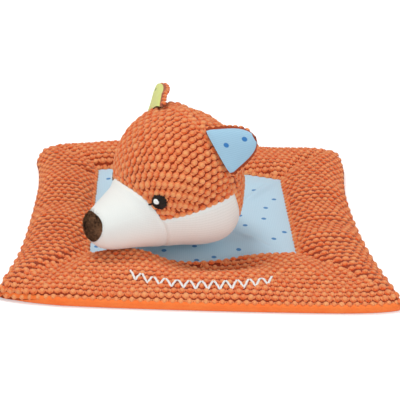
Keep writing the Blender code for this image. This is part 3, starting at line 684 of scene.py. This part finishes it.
def thread_part(path, normal, half_wide, half_high, tone=0.5):
    """A length of flattened thread along path, narrowed and closed at both ends, for build_piece."""
    path, normal = np.asarray(path, float), np.asarray(normal, float)
    count, sides = len(path), 8
    wide = unit(np.cross(normal, np.gradient(path, axis=0)))
    reach = reach_along(path)[:, None]
    full = np.clip(1 - np.abs(2 * np.linspace(0, 1, count) - 1) ** 8, 0.02, 1) ** 0.5
    turn = np.linspace(0, 2 * math.pi, sides, endpoint=False)
    across, high = np.cos(turn)[None] * half_wide, np.sin(turn)[None, :, None] * half_high
    points = path[:, None] + (across[..., None] * wide[:, None] + high * normal) * full[:, None, None]
    uv = np.stack(np.broadcast_arrays(reach / mm, across / mm), -1)
    wraps = grid_faces(count, sides, loop_columns=True)[:, ::-1]
    ends = [tuple(range(sides))[::-1], tuple(range((count - 1) * sides, count * sides))]
    return {"points": points.reshape(-1, 3), "faces": [wraps, ends], "uv": uv.reshape(-1, 2), "tone": tone}


white_thread = yarn_material("white_embroidery_thread", (252, 250, 246), (222, 216, 210), 0.3, 0.03 * mm, 0.1)
top_points = strip_grid("front", 240)[0][:, rim_rows:].reshape(-1, 3)
top_tree = kdtree.KDTree(len(top_points))
for number, point in enumerate(top_points):
    top_tree.insert((point[0], point[1], 0), number)
top_tree.balance()
turning_x = np.linspace(zigzag_left, zigzag_right, zigzag_count + 1)
turning_y = zigzag_middle + zigzag_slope * turning_x + turning_x ** 2 / (2 * zigzag_bow_radius)
turning_y += np.where(np.arange(zigzag_count + 1) % 2, -zigzag_half, zigzag_half)
parts = []
for n in range(zigzag_count):
    path = []
    for share in np.linspace(0.02, 0.98, 9):
        x, y = (ends[n] + (ends[n + 1] - ends[n]) * share for ends in (turning_x, turning_y))
        _, number, _ = top_tree.find((x, y, 0))
        lift = stitch_rise * (0.3 + 0.9 * math.sin(math.pi * share) ** 0.5)
        path.append((x, y, top_points[number][2] + lift))
    parts.append(thread_part(path, (0, 0, 1), *zigzag_thread))
hand_over(build_piece("zigzag_stitching", parts, [white_thread]), "white_thread", body="blanket_middle")

# Head shape: a fox head with a round skull and a long tapering muzzle, turned to the front left and dipped
# towards the blanket. Its surface is given by turn, from the nose, 0, to the back of the head, 1, and by the
# angle round the face. A swell is a rise in mm, its turn and reach, and its tilt and spread.
head_spot = np.array([-5.5, -23.0, 32.7]) * mm
head_heading, head_dip = math.radians(213), math.radians(9.1)
head_front, head_back, head_side = 25.0 * mm, 19.8 * mm, 25.1 * mm
head_top, head_bottom = 24.0 * mm, 28.0 * mm
muzzle_root, muzzle_root_radius, muzzle_root_drop = 12.0 * mm, 16.2 * mm, 8.4 * mm
muzzle_tip, muzzle_tip_radius, muzzle_tip_drop = 35.0 * mm, 6.8 * mm, 7.8 * mm
head_blend = 3.0 * mm
head_seat_height = 6.0 * mm
nose_edge_share, nose_edge_side_share, nose_edge_tilt_share = 0.117, 0.012, 0.003
muzzle_seam_share, muzzle_seam_tilt_share = 0.303, 0.066
back_seam_share, back_seam_tilt_share, back_seam_sweep_share = 0.556, 0.035, 0.06
cheek_top_turn, cheek_top_angle = 0.475, math.radians(-5)
cheek_fall, cheek_fall_reach = math.radians(9.5), 0.15
cheek_climb, cheek_climb_reach = math.radians(1.5), 0.08
full_cheeks, full_chin = (2.0, 0.54, 0.1, -0.75, 0.42), (1.5, 0.2, 0.07, -1.3, 0.5)
drawn_in_neck = (-0.9, 0.42, 0.1, -1.3, 0.45)
ear_puckers, crown_dent = (1.6, 0.6, 0.08, 0.9, 0.2), (-1.3, 0.62, 0.1, 1.4, 0.25)
swells = full_cheeks, full_chin, drawn_in_neck, ear_puckers, crown_dent
nose_flat, nose_flat_reach = 0.9 * mm, 0.1
face_way = np.array([math.cos(head_heading) * math.cos(head_dip), math.sin(head_heading) * math.cos(head_dip),
                     -math.sin(head_dip)])
side_way = np.array([-math.sin(head_heading), math.cos(head_heading), 0.0])
crown_way = np.cross(face_way, side_way)
crown_way *= np.sign(crown_way[2])


def head_depth(point):
    """How far a point in head axes (face, side, crown) lies outside the head; inside is less than zero."""
    long = np.where(point[..., 0] > 0, head_front, head_back)
    high = np.where(point[..., 2] > 0, head_top, head_bottom)
    radii = np.stack([long, np.full_like(long, head_side), high], -1)
    near = np.linalg.norm(point / radii, axis=-1)
    skull = near * (near - 1) / np.maximum(np.linalg.norm(point / radii ** 2, axis=-1), 1e-9)
    root = np.array([muzzle_root, 0.0, -muzzle_root_drop])
    tip = np.array([muzzle_tip, 0.0, -muzzle_tip_drop])
    length = np.linalg.norm(tip - root)
    way = (tip - root) / length
    offset = point - root
    down = offset @ way
    wide = np.linalg.norm(offset - down[..., None] * way, axis=-1)
    taper = (muzzle_root_radius - muzzle_tip_radius) / length
    cosine = math.sqrt(1 - taper * taper)
    side = cosine * down - taper * wide
    muzzle = np.where(side < 0, np.hypot(wide, down) - muzzle_root_radius,
                      np.where(side > cosine * length, np.hypot(wide, down - length) - muzzle_tip_radius,
                               wide * cosine + down * taper - muzzle_root_radius))
    share = np.clip(0.5 + 0.5 * (muzzle - skull) / head_blend, 0.0, 1.0)
    return muzzle * (1 - share) + skull * share - head_blend * share * (1 - share)


def to_world(point):
    return head_spot + point[..., :1] * face_way + point[..., 1:2] * side_way + point[..., 2:] * crown_way


def head_form(turn, angle):
    """How far the cloth stands out from the plain head."""
    tilt = np.arctan2(np.sin(angle), np.abs(np.cos(angle)))
    total = -nose_flat * np.exp(-(turn / nose_flat_reach) ** 2) * (0.5 - 0.5 * np.sin(angle))
    for rise, at_turn, reach, at_tilt, spread in swells:
        total += rise * mm * np.exp(-((turn - at_turn) / reach) ** 2 - ((tilt - at_tilt) / spread) ** 2)
    return total


def head_point(turn, angle, depth=0.0):
    """Point on the head, depth below its cloth, found by halving the way out from the skull or the muzzle."""
    turn, angle, depth = np.broadcast_arrays(*(np.asarray(value, float) for value in (turn, angle, depth)))
    depth = depth - head_form(turn, angle)
    slide = np.clip(1 - 2 * turn, 0.0, 1.0) ** 1.2
    start = np.stack([muzzle_tip * slide, 0 * slide, -muzzle_tip_drop * slide], -1)
    bend = math.pi * turn
    way = np.stack([np.cos(bend), np.sin(bend) * np.cos(angle), np.sin(bend) * np.sin(angle)], -1)
    low, high = np.zeros(turn.shape), np.full(turn.shape, head_bottom + muzzle_tip)
    for _ in range(26):
        middle = (low + high) / 2
        spot = start + way * middle[..., None]
        seat = head_seat_height - to_world(spot)[..., 2]
        inside = np.maximum(head_depth(spot), seat) < -depth
        low, high = np.where(inside, middle, low), np.where(inside, high, middle)
    return to_world(start + way * low[..., None])


def outward_normals(grid):
    """Normals of a grid of points on the head, all turned away from its middle."""
    normals = grid_normals(grid)
    return normals * np.sign(((grid - head_spot) * normals).sum(-1).mean())


def muzzle_seam(angle):
    return muzzle_seam_share - muzzle_seam_tilt_share * np.sin(angle)


def back_seam_turn(angle):
    low = np.clip(-np.sin(angle), 0, 0.5)
    return back_seam_share - back_seam_tilt_share * np.sin(angle) + back_seam_sweep_share * low


def nose_edge(angle):
    return nose_edge_share + nose_edge_side_share * np.cos(angle) ** 2 - nose_edge_tilt_share * np.sin(angle)


def cheek_line(turn):
    """Angle of the seam between crown and cheek: it rises from the muzzle to the back of the head."""
    forward = np.clip(cheek_top_turn - turn, 0, None) / cheek_fall_reach
    backward = np.clip(turn - cheek_top_turn, 0, None) / cheek_climb_reach
    return cheek_top_angle - cheek_fall * forward ** 1.7 + cheek_climb * backward ** 2


def side_panel_grid(rows, columns, reach):
    """Turns and angles of a panel between muzzle seam and back seam; reach gives its angles' ends."""
    share, across = np.linspace(0, 1, rows)[:, None], np.linspace(0, 1, columns)[None]
    turns = 0.45 + 0 * share * across
    for _ in range(4):
        low, high = reach(turns)
        angles = low + across * (high - low)
        turns = muzzle_seam(angles) + share * (back_seam_turn(angles) - muzzle_seam(angles))
    return turns, angles


# Filling and pouch: firm fibre filling that gives the head its shape, and inside it, near the bottom, the
# small crimped cotton pouch of dried herb.
around_count, filling_depth, filling_lump = 48, 2.4 * mm, 0.3 * mm
pouch_radius, pouch_half, pouch_middle, pouch_crimp = 7.3 * mm, 6.3 * mm, 14.7 * mm, 0.06
around = np.linspace(0, 2 * math.pi, around_count, endpoint=False)[None]
fibre = fleece_material("fibre_filling", (244, 243, 240), (222, 221, 216), 0.001, 0.2 * mm, 0.3)
pouch_cotton = jersey_material("pouch_cotton", (206, 200, 176), (178, 170, 140), 0.5, 0.03 * mm)
turns = np.linspace(0, 1, 33)[1:-1, None]
lumpy = filling_depth + filling_lump * np.sin(9 * turns * math.pi) * np.cos(5 * around)
filling_grid = head_point(turns, around, lumpy).reshape(-1, 3)
filling_ends = [head_point(end, 0.0, filling_depth) for end in (0.0, 1.0)]
nose_end, back_end = len(filling_grid), len(filling_grid) + 1
last_row = nose_end - around_count
lids = [(nose_end, j, (j + 1) % around_count) for j in range(around_count)]
lids += [(back_end, last_row + (j + 1) % around_count, last_row + j) for j in range(around_count)]
wraps = grid_faces(len(turns), around_count, loop_columns=True)
filling = build_piece("head_filling", [{"points": np.concatenate([filling_grid, filling_ends]),
                                        "faces": [lids, wraps]}], [fibre])
hand_over(filling, "wadding", "head_stuffing", body="head", fill=0.9)
pouch_rows = np.linspace(-math.pi / 2, math.pi / 2, 17)[:, None]
crimp = 1 - pouch_crimp * np.cos(14 * around) * np.sin(pouch_rows) ** 4
crimped = pouch_radius * np.cos(pouch_rows) ** 0.5 * crimp
pouch_grid = np.stack([head_spot[0] + crimped * np.cos(around), head_spot[1] + crimped * np.sin(around),
                       pouch_middle + pouch_half * np.sin(pouch_rows) + 0 * around], -1).reshape(-1, 3)
wraps = grid_faces(len(pouch_rows), around_count, loop_columns=True)[:, ::-1]
pouch = build_piece("dried_herb_pouch", [{"points": pouch_grid, "faces": [wraps],
                                          "uv": pouch_grid[:, [0, 2]] / mm}], [pouch_cotton])
hand_over(pouch, "pouch", "herb_pouch", body="head", fill=0.5)

# Crown and back of the head: the same moss-stitch knit, with larger beads, in two panels that meet where the
# ears are sewn in. Each is a base cloth a little below the surface, sunk at its seams, with stitches on it.
bead_pitch, bead_row, bead_scatter, bead_drift = 3.3 * mm, 2.2 * mm, 0.12 * mm, 0.15 * mm
bead_base_depth = 0.6 * mm
bead_sizes = (1.3 * mm, 1.22 * mm, 0.85 * mm)
seam_sink, seam_sink_reach, seam_inset, seam_pitch = 0.5 * mm, 0.8 * mm, 0.8 * mm, 2.4 * mm
seam_overlap_angle = 0.02


def distance_to_seams(cloth, sides):
    """How far a panel's points lie from its nearest seam; sides are pairs of axis and whether at its end."""
    nearest = np.full(cloth.shape[:2], np.inf)
    for axis, at_end in sides:
        reach = reach_along(cloth, axis)
        nearest = np.minimum(nearest, np.take(reach, [-1], axis) - reach if at_end else reach)
    return nearest


def seam_stitches(cloth, sides):
    """Grid places of one row of stitches just inside each seam."""
    found = []
    for axis, at_end in sides:
        grid = cloth if axis == 0 else cloth.transpose(1, 0, 2)
        grid = grid[::-1] if at_end else grid
        rows, columns = grid.shape[:2]
        reach = reach_along(grid)
        spot = np.array([np.interp(seam_inset, reach[:, c], np.arange(rows)) for c in range(columns)])
        length = reach_along(sample(grid, spot, np.arange(columns)))
        column = np.interp(np.arange(0.4 * seam_pitch, length[-1], seam_pitch), length, np.arange(columns))
        ahead = np.minimum(column + 0.5, columns - 1)
        pair = [np.interp(c, np.arange(columns), spot) for c in (column, ahead)]
        pair = [rows - 1 - r if at_end else r for r in pair]
        place = (pair[0], column, pair[1], ahead) if axis == 0 else (column, pair[0], ahead, pair[1])
        found.append(np.stack([*place, np.zeros(len(column))]))
    return np.concatenate(found, 1)


def knit_panel(name, node, turns, angles, lattice, sides):
    """A knit panel over part of the head; lattice gives the stitches' places on its grid."""
    to_seam = distance_to_seams(head_point(turns, angles, bead_base_depth), sides)
    sunk = bead_base_depth + seam_sink * np.exp(-(to_seam / seam_sink_reach) ** 2)
    cloth = head_point(turns, angles, sunk)
    inner = lattice(cloth)
    inner = inner[:, sample(to_seam, inner[0], inner[1]) > seam_inset + 0.6 * bead_row]
    row, column, ahead_row, ahead_column, is_leg = np.concatenate([inner, seam_stitches(cloth, sides)], 1)
    places = sample(cloth, row, column)
    ways = sample(cloth, ahead_row, ahead_column) - places
    outs = unit(sample(outward_normals(cloth), row, column))
    good = np.linalg.norm(ways, axis=1) > 1e-7
    places, ways, outs, is_leg = places[good], unit(ways[good]), outs[good], is_leg[good] > 0.5
    places = places + ways * dice.normal(0, bead_scatter, (len(places), 1))
    flat = np.stack(np.broadcast_arrays(angles * head_side / mm, turns * 60), -1)
    parts = [{"points": cloth.reshape(-1, 3), "faces": [grid_faces(*cloth.shape[:2])], "slot": 1,
              "uv": flat.reshape(-1, 2), "tone": 0.3}]
    parts += stitch_parts(places, ways, outs, is_leg, *bead_sizes)
    hand_over(build_piece(name, parts, [orange_yarn, shaded_yarn_ground]), "knit", node, body="head", fill=0.9)


def crown_lattice(cloth):
    """Rows run from the muzzle to the back of the head, a fixed distance apart round the face."""
    count, lines = cloth.shape[:2]
    wide = reach_along(cloth, 1)
    wide -= wide[:, lines // 2][:, None]
    top = reach_along(cloth[:, lines // 2])
    found = []
    for n in range(-40, 41):
        line = np.array([np.interp(n * bead_row, wide[m], np.arange(lines), left=np.nan, right=np.nan)
                         for m in range(count)])
        spots = np.arange(0.35 + 0.5 * (n % 2), top[-1] / bead_pitch, 0.5)
        is_leg = np.arange(len(spots)) % 2
        spots = spots * bead_pitch + bead_drift * np.sin(spots * 0.9 + n * 0.4)
        row = np.interp(spots, top, np.arange(count))
        places = []
        for at_row in (row, np.minimum(row + 0.5, count - 1)):
            low = np.clip(at_row.astype(int), 0, count - 2)
            places += [at_row, line[low] + (line[low + 1] - line[low]) * (at_row - low)]
        here = np.isfinite(places[1]) & np.isfinite(places[3]) & (row > 0) & (row < count - 1)
        found.append(np.stack([*places, is_leg])[:, here])
    return np.concatenate(found, 1)


def back_lattice(cloth):
    """Rows run straight across the back of the head, laid out flat from its middle."""
    count, lines = cloth.shape[:2]
    out_reach = reach_along(cloth)
    n, m = np.meshgrid(np.arange(-16, 17, 0.5), np.arange(-26, 27))
    flat_x, flat_y = ((n + 0.5 * (m % 2)) * bead_pitch).ravel(), (m * bead_row).ravel()
    places = []
    for x, y in ((flat_x, flat_y), (flat_x + 0.3 * mm, flat_y)):
        column = np.mod(np.arctan2(y, x), 2 * math.pi) / (2 * math.pi) * (lines - 1)
        low = np.clip(column.astype(int), 0, lines - 2)
        row = [np.interp(far, out_reach[:, line], np.arange(count), right=np.nan)
               for far, line in zip(np.hypot(x, y), low)]
        places += [np.array(row), column]
    here = np.isfinite(places[0]) & np.isfinite(places[2]) & (places[0] < count - 1)
    return np.stack([*places, (2 * n).ravel() % 2])[:, here]


def crown_reach(turn):
    near_side = cheek_line(turn) - seam_overlap_angle
    return near_side, math.pi - near_side


knit_panel("crown_knit", "crown", *side_panel_grid(90, 181, crown_reach), crown_lattice,
           [(0, False), (0, True), (1, False), (1, True)])
back_angles = np.linspace(0, 2 * math.pi, 181)[None]
back_turns = 1 - np.linspace(0.004, 1, 60)[:, None] * (1 - back_seam_turn(back_angles))
knit_panel("head_back_knit", "head_back", back_turns, back_angles, back_lattice, [(0, True)])

# Muzzle and cheeks: fine cream jersey, drawn tight over the filling, in one panel round the muzzle and one
# over each cheek, with a narrow groove along every seam.
cream_jersey = jersey_material("cream_jersey", (239, 237, 231), (227, 225, 218), 0.7, 0.02 * mm)
groove_depth, groove_reach, jersey_proud, nose_overlap = 0.5 * mm, 0.7 * mm, 0.1 * mm, 0.004


def jersey_panel(name, node, turns, angles, sides):
    to_seam = distance_to_seams(head_point(turns, angles), sides)
    skin = head_point(turns, angles, groove_depth * np.exp(-(to_seam / groove_reach) ** 2) - jersey_proud)
    flat = np.stack([angles * 14, turns * 66], -1)
    panel = build_piece(name, [{"points": skin.reshape(-1, 3), "faces": [grid_faces(*skin.shape[:2])],
                                "uv": flat.reshape(-1, 2)}], [cream_jersey])
    hand_over(panel, "cream_jersey", node, body="head", fill=0.9)


angles = np.linspace(0, 2 * math.pi, 121)[None] + np.zeros((50, 1))
muzzle_start = nose_edge(angles) - nose_overlap
turns = muzzle_start + np.linspace(0, 1, 50)[:, None] * (muzzle_seam(angles) - muzzle_start)
jersey_panel("muzzle_jersey", "muzzle", turns, angles, [(0, True)])
turns, angles = side_panel_grid(80, 70, lambda turn: (-math.pi / 2 + 0 * turn, cheek_line(turn)))
jersey_panel("left_cheek_jersey", "left_cheek", turns, angles, [(0, False), (0, True), (1, True)])
jersey_panel("right_cheek_jersey", "right_cheek", turns, math.pi - angles, [(0, False), (0, True), (1, True)])

# Nose: a small cap of dark brown fleece, puffed a little in its middle and sunk at its edge, with short hairs
# of brushed nap standing on it.
brown_fleece = fleece_material("brown_fleece", (158, 112, 80), (30, 12, 4), 0.0009, 0.3 * mm, 0.0)
nap_length, nap_half_wide, nap_count = 0.65 * mm, 0.12 * mm, 4200
nose_puff, nose_sunk = 0.25 * mm, 0.35 * mm
nose_rows, nose_columns = 20, 49
out_share = np.linspace(0, 1, nose_rows)[:, None]
nose_angles = np.linspace(0, 2 * math.pi, nose_columns)[None]
nose_turns = out_share ** 0.8 * (nose_edge(nose_angles) + nose_overlap)
nose_depth = -nose_puff * (1 - out_share ** 4) + nose_sunk * out_share ** 8
nose_grid = head_point(nose_turns, nose_angles, nose_depth)
row = np.sqrt(dice.uniform(0.02, 1, nap_count)) * (nose_rows - 1)
column = dice.uniform(0, nose_columns - 1, nap_count)
roots, outs = (sample(grid, row, column) for grid in (nose_grid, outward_normals(nose_grid)))
lean = dice.normal(0, 0.5, (nap_count, 3))
tips = roots + unit(outs + lean) * nap_length * dice.uniform(0.5, 1, (nap_count, 1))
wide = unit(np.cross(outs, lean)) * nap_half_wide
nap_points = np.stack([roots - wide, roots + wide, tips], 1).reshape(-1, 3)
nose = build_piece("nose_fleece", [
    {"points": nose_grid.reshape(-1, 3), "faces": [grid_faces(nose_rows, nose_columns)]},
    {"points": nap_points, "faces": [np.arange(3 * nap_count).reshape(-1, 3)]}], [brown_fleece])
hand_over(nose, "brown_fleece", "nose", body="head")

# Eyes: satin stitches of black thread laid out from the middle like spokes, with a small oval of white
# stitches on top of each and one black stitch at the inner corner. The far eye is worked flatter.
eye_turn_share = 0.321
eye_radius, eye_rise, far_eye_share, eye_layer = 2.9 * mm, 0.95 * mm, 0.3, 0.15 * mm
glint_long, glint_short, glint_shift, glint_proud, glint_bulge = (
    size * mm for size in (1.15, 0.8, 0.95, 0.1, 0.3))
glint_up, glint_forward, spoke_scatter, spoke_length_scatter = 0.85, 0.53, 0.05, 0.03
corner_turns, corner_rise = np.linspace(0.302, 0.283, 7), 0.25 * mm
eye_thread, glint_thread, corner_thread = (0.42 * mm, 0.28 * mm), (0.3 * mm, 0.2 * mm), (0.32 * mm, 0.25 * mm)
black_thread = yarn_material("black_embroidery_thread", (50, 42, 38), (12, 10, 10), 0.28, 0.03 * mm, 0.1)


def surface_frame(turn, angle):
    """Middle, normal, forward and up of a small patch of the head's surface."""
    middle = head_point(turn, angle)
    wide = head_point(turn, angle + 0.02) - head_point(turn, angle - 0.02)
    ahead = head_point(turn - 0.02, angle) - head_point(turn + 0.02, angle)
    normal = unit(np.cross(wide, ahead))
    normal *= np.sign(normal @ (middle - head_spot))
    up = unit(crown_way - (crown_way @ normal) * normal)
    forward = np.cross(up, normal)
    return middle, normal, forward * np.sign(forward @ face_way), up


for side, angle, rise in (("left", math.radians(13.4), eye_rise),
                          ("right", math.pi - math.radians(4), far_eye_share * eye_rise)):
    middle, normal, forward, up = surface_frame(eye_turn_share, angle)
    parts = []
    for layer, count, reach in ((0.0, 22, 1.0), (eye_layer, 17, 0.99)):
        for n in range(count):
            bearing = 2 * math.pi * (n + 0.5 * (layer > 0)) / count + dice.normal(0, spoke_scatter)
            far = eye_radius * (1 + dice.normal(0, spoke_length_scatter)) * reach
            spoke = forward * math.cos(bearing) + up * math.sin(bearing)
            path = []
            for share in np.linspace(0.0, 1, 8):
                lift = rise * math.sqrt(max(1 - share ** 2.6, 0.0)) + layer - eye_layer
                sink = (far * share) ** 2 / (2 * head_side)
                path.append(middle + spoke * far * share + normal * (lift - sink))
            parts.append(thread_part(path, normal, *eye_thread, tone=float(dice.uniform(0.1, 0.8))))
    eye = build_piece(side + "_eye_stitches", parts, [black_thread])
    hand_over(eye, "black_thread", side + "_eye", body="head")
    glint_middle = middle + (forward + up) * glint_shift * math.sqrt(0.5) + normal * (rise + glint_proud)
    long_way = up * glint_up + forward * glint_forward
    short_way = up * -glint_forward + forward * glint_up
    parts = []
    for off in np.arange(-2, 3) / 2.6:
        half = glint_long * math.sqrt(1 - off ** 2)
        path = [glint_middle + short_way * glint_short * off + long_way * half * s
                + normal * glint_bulge * (1 - s * s) for s in np.linspace(-1, 1, 9)]
        parts.append(thread_part(path, normal, *glint_thread, tone=1.0))
    glint = build_piece(side + "_eye_glint_stitches", parts, [white_thread])
    hand_over(glint, "white_thread", side + "_eye_glint", body="head")
    path = head_point(corner_turns, angle, -corner_rise * np.sin(np.linspace(0, math.pi, len(corner_turns))))
    corner = build_piece(side + "_eye_corner_stitch", [thread_part(path, normal, *corner_thread)],
                         [black_thread])
    hand_over(corner, "black_thread", body="head")

# Ears: a triangle of knit with its edge turned over to the front, lined with dotted jersey, sewn into the
# seam behind the crown. An ear is given by the angles in degrees where its seam ends, then in mm its length,
# its tip's shift, how its root runs and where its edge beads start.
ear_lean = (11.6, 4.6, -10.6)
ear_thickness, ear_cup, ear_edge = 3.0 * mm, 1.2 * mm, 0.9 * mm
ear_bead_pitch, ear_bead_row, edge_bead_pitch, ear_bead_inset = 2.9 * mm, 1.9 * mm, 1.75 * mm, 0.5 * mm
ear_bead_sizes = (1.0 * mm, 0.9 * mm, 0.75 * mm)
ear_rows, ear_columns = 44, 41
ear_gap, front_sink, back_sink, least_half = 0.3 * mm, 0.25 * mm, 0.4 * mm, 0.02 * mm
lining_proud, lining_fall, lining_least, lining_share = 0.05 * mm, 0.8 * mm, 0.03 * mm, 0.98
first_bead_height, edge_bead_drop = 0.4 * mm, 0.5 * mm
lime_jersey = jersey_material("dotted_lime_jersey", (226, 228, 134), (206, 208, 108), 0.7, 0.02 * mm,
                              ((104, 136, 84), 0.8))
# The ear's lining is the panel's blue jersey painted darker: painted shade on the ear.
shaded_ear_blue_jersey = jersey_material("dotted_blue_ear_jersey_in_shade", (166, 200, 220), (148, 184, 207), 0.7, 0.014 * mm,
                                  ((58, 122, 184), 0.9))


def ear_frame(top_angle, low_angle, mirror):
    """Base middle, way along the base, way to the tip, way out of the lining, and half the base's length."""
    seam_angles = np.array([top_angle, low_angle, (top_angle + low_angle) / 2])
    seam_turns = back_seam_turn(seam_angles)
    *ends, middle_skin = head_point(seam_turns, math.pi - seam_angles if mirror else seam_angles,
                                    head_form(seam_turns, seam_angles))
    middle = (ends[0] + ends[1]) / 2
    along = unit(ends[0] - ends[1])
    sideways, upwards, forwards = ear_lean
    tip = unit((-sideways if mirror else sideways) * side_way + upwards * crown_way + forwards * face_way)
    out = unit(np.cross(along, tip))
    out *= np.sign(out @ face_way)
    outward = unit(middle_skin - head_spot)
    base = middle + outward * ((middle_skin - middle) @ outward + ear_gap + ear_thickness / 2)
    return base, along, tip, out, np.linalg.norm(ends[0] - ends[1]) / 2


def ear_half(up, half_base):
    rounded = np.clip(1 - up ** 5, 0.0, 1.0) ** 0.5
    return half_base * (1 - 0.55 * up) * rounded + ear_edge * (1 - 0.7 * up ** 5)


def ear_curl(across, up):
    return -ear_cup * across ** 2 * up * (1 - up) * 4


def ear_half_thickness(across, up):
    return ear_edge + (ear_thickness / 2 - ear_edge) * (1 - across ** 4) * (1 - up ** 4)


for side, top, low, length, skew, root, root_sweep, edge_start, lining_cloth, slot, dots in (
        ("left", 54, 14, 13.2, 1.6, -1.3, 0.0, -0.8, shaded_ear_blue_jersey, "blue_jersey",
         [(2.0, 9.8), (1.6, 2.9)]),
        ("right", 73, 18, 11.2, -1.0, -4.0, -3.5, -5.0, lime_jersey, "green_jersey",
         [(-7.4, 3.0), (1.5, 7.0)])):
    base, along, tip, out, half_base = ear_frame(math.radians(top), math.radians(low), side == "right")
    length, skew = length * mm, skew * mm
    shares = np.linspace(-1, 1, ear_columns)[None]
    start = (root + root_sweep * shares ** 2) * mm
    rises = start + (length - start) * np.linspace(0, 1, ear_rows)[:, None]
    up = np.clip(rises, 0, None) / length
    half, curl = ear_half(up, half_base), ear_curl(shares, up)

    def ear_place(x, y, up, off):
        return base + (x + skew * up) * along + y * tip + off * out

    def ear_sheet(thick, shrink=1.0):
        x, y = half * shares * shrink, rises + 0 * shares
        spot = ear_place(x[..., None], y[..., None], up[..., None], (curl + thick)[..., None])
        return spot, np.stack([x + skew * up, y], -1) / mm

    thick = ear_half_thickness(shares, up) * (1 - shares ** 8) ** 0.5
    parts = []
    for skin, flat in (ear_sheet(np.maximum(thick - front_sink, least_half)),
                       ear_sheet(np.minimum(-thick + back_sink, -least_half))):
        parts.append({"points": skin.reshape(-1, 3), "faces": [grid_faces(ear_rows, ear_columns)], "slot": 1,
                      "uv": flat.reshape(-1, 2), "tone": 0.4})
    beads = []
    for n in range(-1, 8):
        for m in range(-6, 7):
            y = n * ear_bead_row + first_bead_height
            x = (m + 0.5 * (n % 2)) * ear_bead_pitch
            up_here = max(y, 0) / length
            if up_here >= 1 or abs(x) > ear_half(up_here, half_base) - ear_bead_inset:
                continue
            share = x / ear_half(up_here, half_base)
            off = ear_curl(share, up_here) - ear_half_thickness(share, up_here) + back_sink
            beads.append((ear_place(x, y, up_here, off), along, -out + along * share * 0.4))
    for edge in (-1, 1):
        for y in np.arange(edge_start * mm, length, edge_bead_pitch):
            up_here = max(y, 0) / length
            x, ahead = (edge * (ear_half(min(share, 1), half_base) - ear_bead_inset)
                        for share in (up_here, up_here + 0.1))
            way = unit(along * (ahead - x + 0.1 * skew) + tip * length * 0.1)
            facing = np.cross(way, out)
            beads.append((ear_place(x, y, up_here, ear_curl(1, up_here) - edge_bead_drop), way,
                          facing * np.sign(facing @ along) * edge))
    places, ways, outs = np.array(beads).transpose(1, 0, 2)
    parts.append(hump_part(places, ways, unit(outs), *ear_bead_sizes))
    ear_knit = build_piece(side + "_ear_knit", parts, [orange_yarn, shaded_yarn_ground])
    cover = thick + lining_proud - lining_fall * np.abs(shares) ** 12
    lining, flat = ear_sheet(np.maximum(cover, lining_least), lining_share)
    lining, flat = lining[:-1].reshape(-1, 3), flat[:-1].reshape(-1, 2)
    ear_cloth = build_piece(side + "_ear_jersey", [
        {"points": lining, "faces": [grid_faces(ear_rows - 1, ear_columns)], "uv": flat,
         "tone": gap_to_dots(*flat.T, dots)}], [lining_cloth])
    for piece, node, piece_slot in ((ear_knit, side + "_ear_back", "knit"),
                                    (ear_cloth, side + "_ear_lining", slot)):
        hand_over(piece, piece_slot, node, fill=0.3)
        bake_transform(piece)

# Neck: the gathered collar of jersey that the head is sewn on with, and its ring of orange stitches, sewn
# through the panel.
neck_radius, neck_shift = 6.2 * mm, 2.6 * mm
collar_foot, collar_height, collar_waist, collar_spread = 4.7 * mm, 3.2 * mm, 1.6 * mm, 0.6 * mm
pleat_count, pleat_depth = 14, 0.2 * mm
neck_stitch_turn, neck_stitch_rise, neck_stitch_height = 0.17, 0.3 * mm, 0.25 * mm
neck_thread = (0.25 * mm, 0.22 * mm)
collar_rows = np.linspace(0, 1, 9)[:, None]
collar_turns = np.linspace(0, 2 * math.pi, 97)[None]
collar_radius = neck_radius + pleat_depth * np.sin(pleat_count * collar_turns)
collar_radius = collar_radius - collar_waist * np.sin(math.pi * collar_rows) + collar_spread * collar_rows


def round_neck(turn, radius, height):
    """Points round the neck's middle."""
    return np.stack(np.broadcast_arrays(head_spot[0] + radius * np.cos(turn),
                                        head_spot[1] + neck_shift + radius * np.sin(turn), height), -1)


collar = round_neck(collar_turns, collar_radius, collar_foot + collar_rows * collar_height)
collar_flat = np.stack(np.broadcast_arrays(collar_turns * 8.5, collar_rows * 3), -1)
orange_thread = yarn_material("orange_sewing_thread", (236, 132, 84), (190, 92, 50), 0.2, 0.02 * mm)
parts = [{"points": collar.reshape(-1, 3), "faces": [grid_faces(*collar.shape[:2])], "slot": 1,
          "uv": collar_flat.reshape(-1, 2)}]
reach = np.linspace(-neck_stitch_turn, neck_stitch_turn, 7)
for n in range(pleat_count):
    lift = neck_stitch_rise * np.cos(reach / neck_stitch_turn * math.pi / 2)
    path = round_neck(2 * math.pi * n / pleat_count + reach, neck_radius,
                      collar_foot + neck_stitch_height + lift)
    parts.append(thread_part(path, (0, 0, 1), *neck_thread))
neck = build_piece("neck_collar", parts, [orange_thread, cream_jersey])
hand_over(neck, "orange_thread", "neck_seam")
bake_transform(neck)
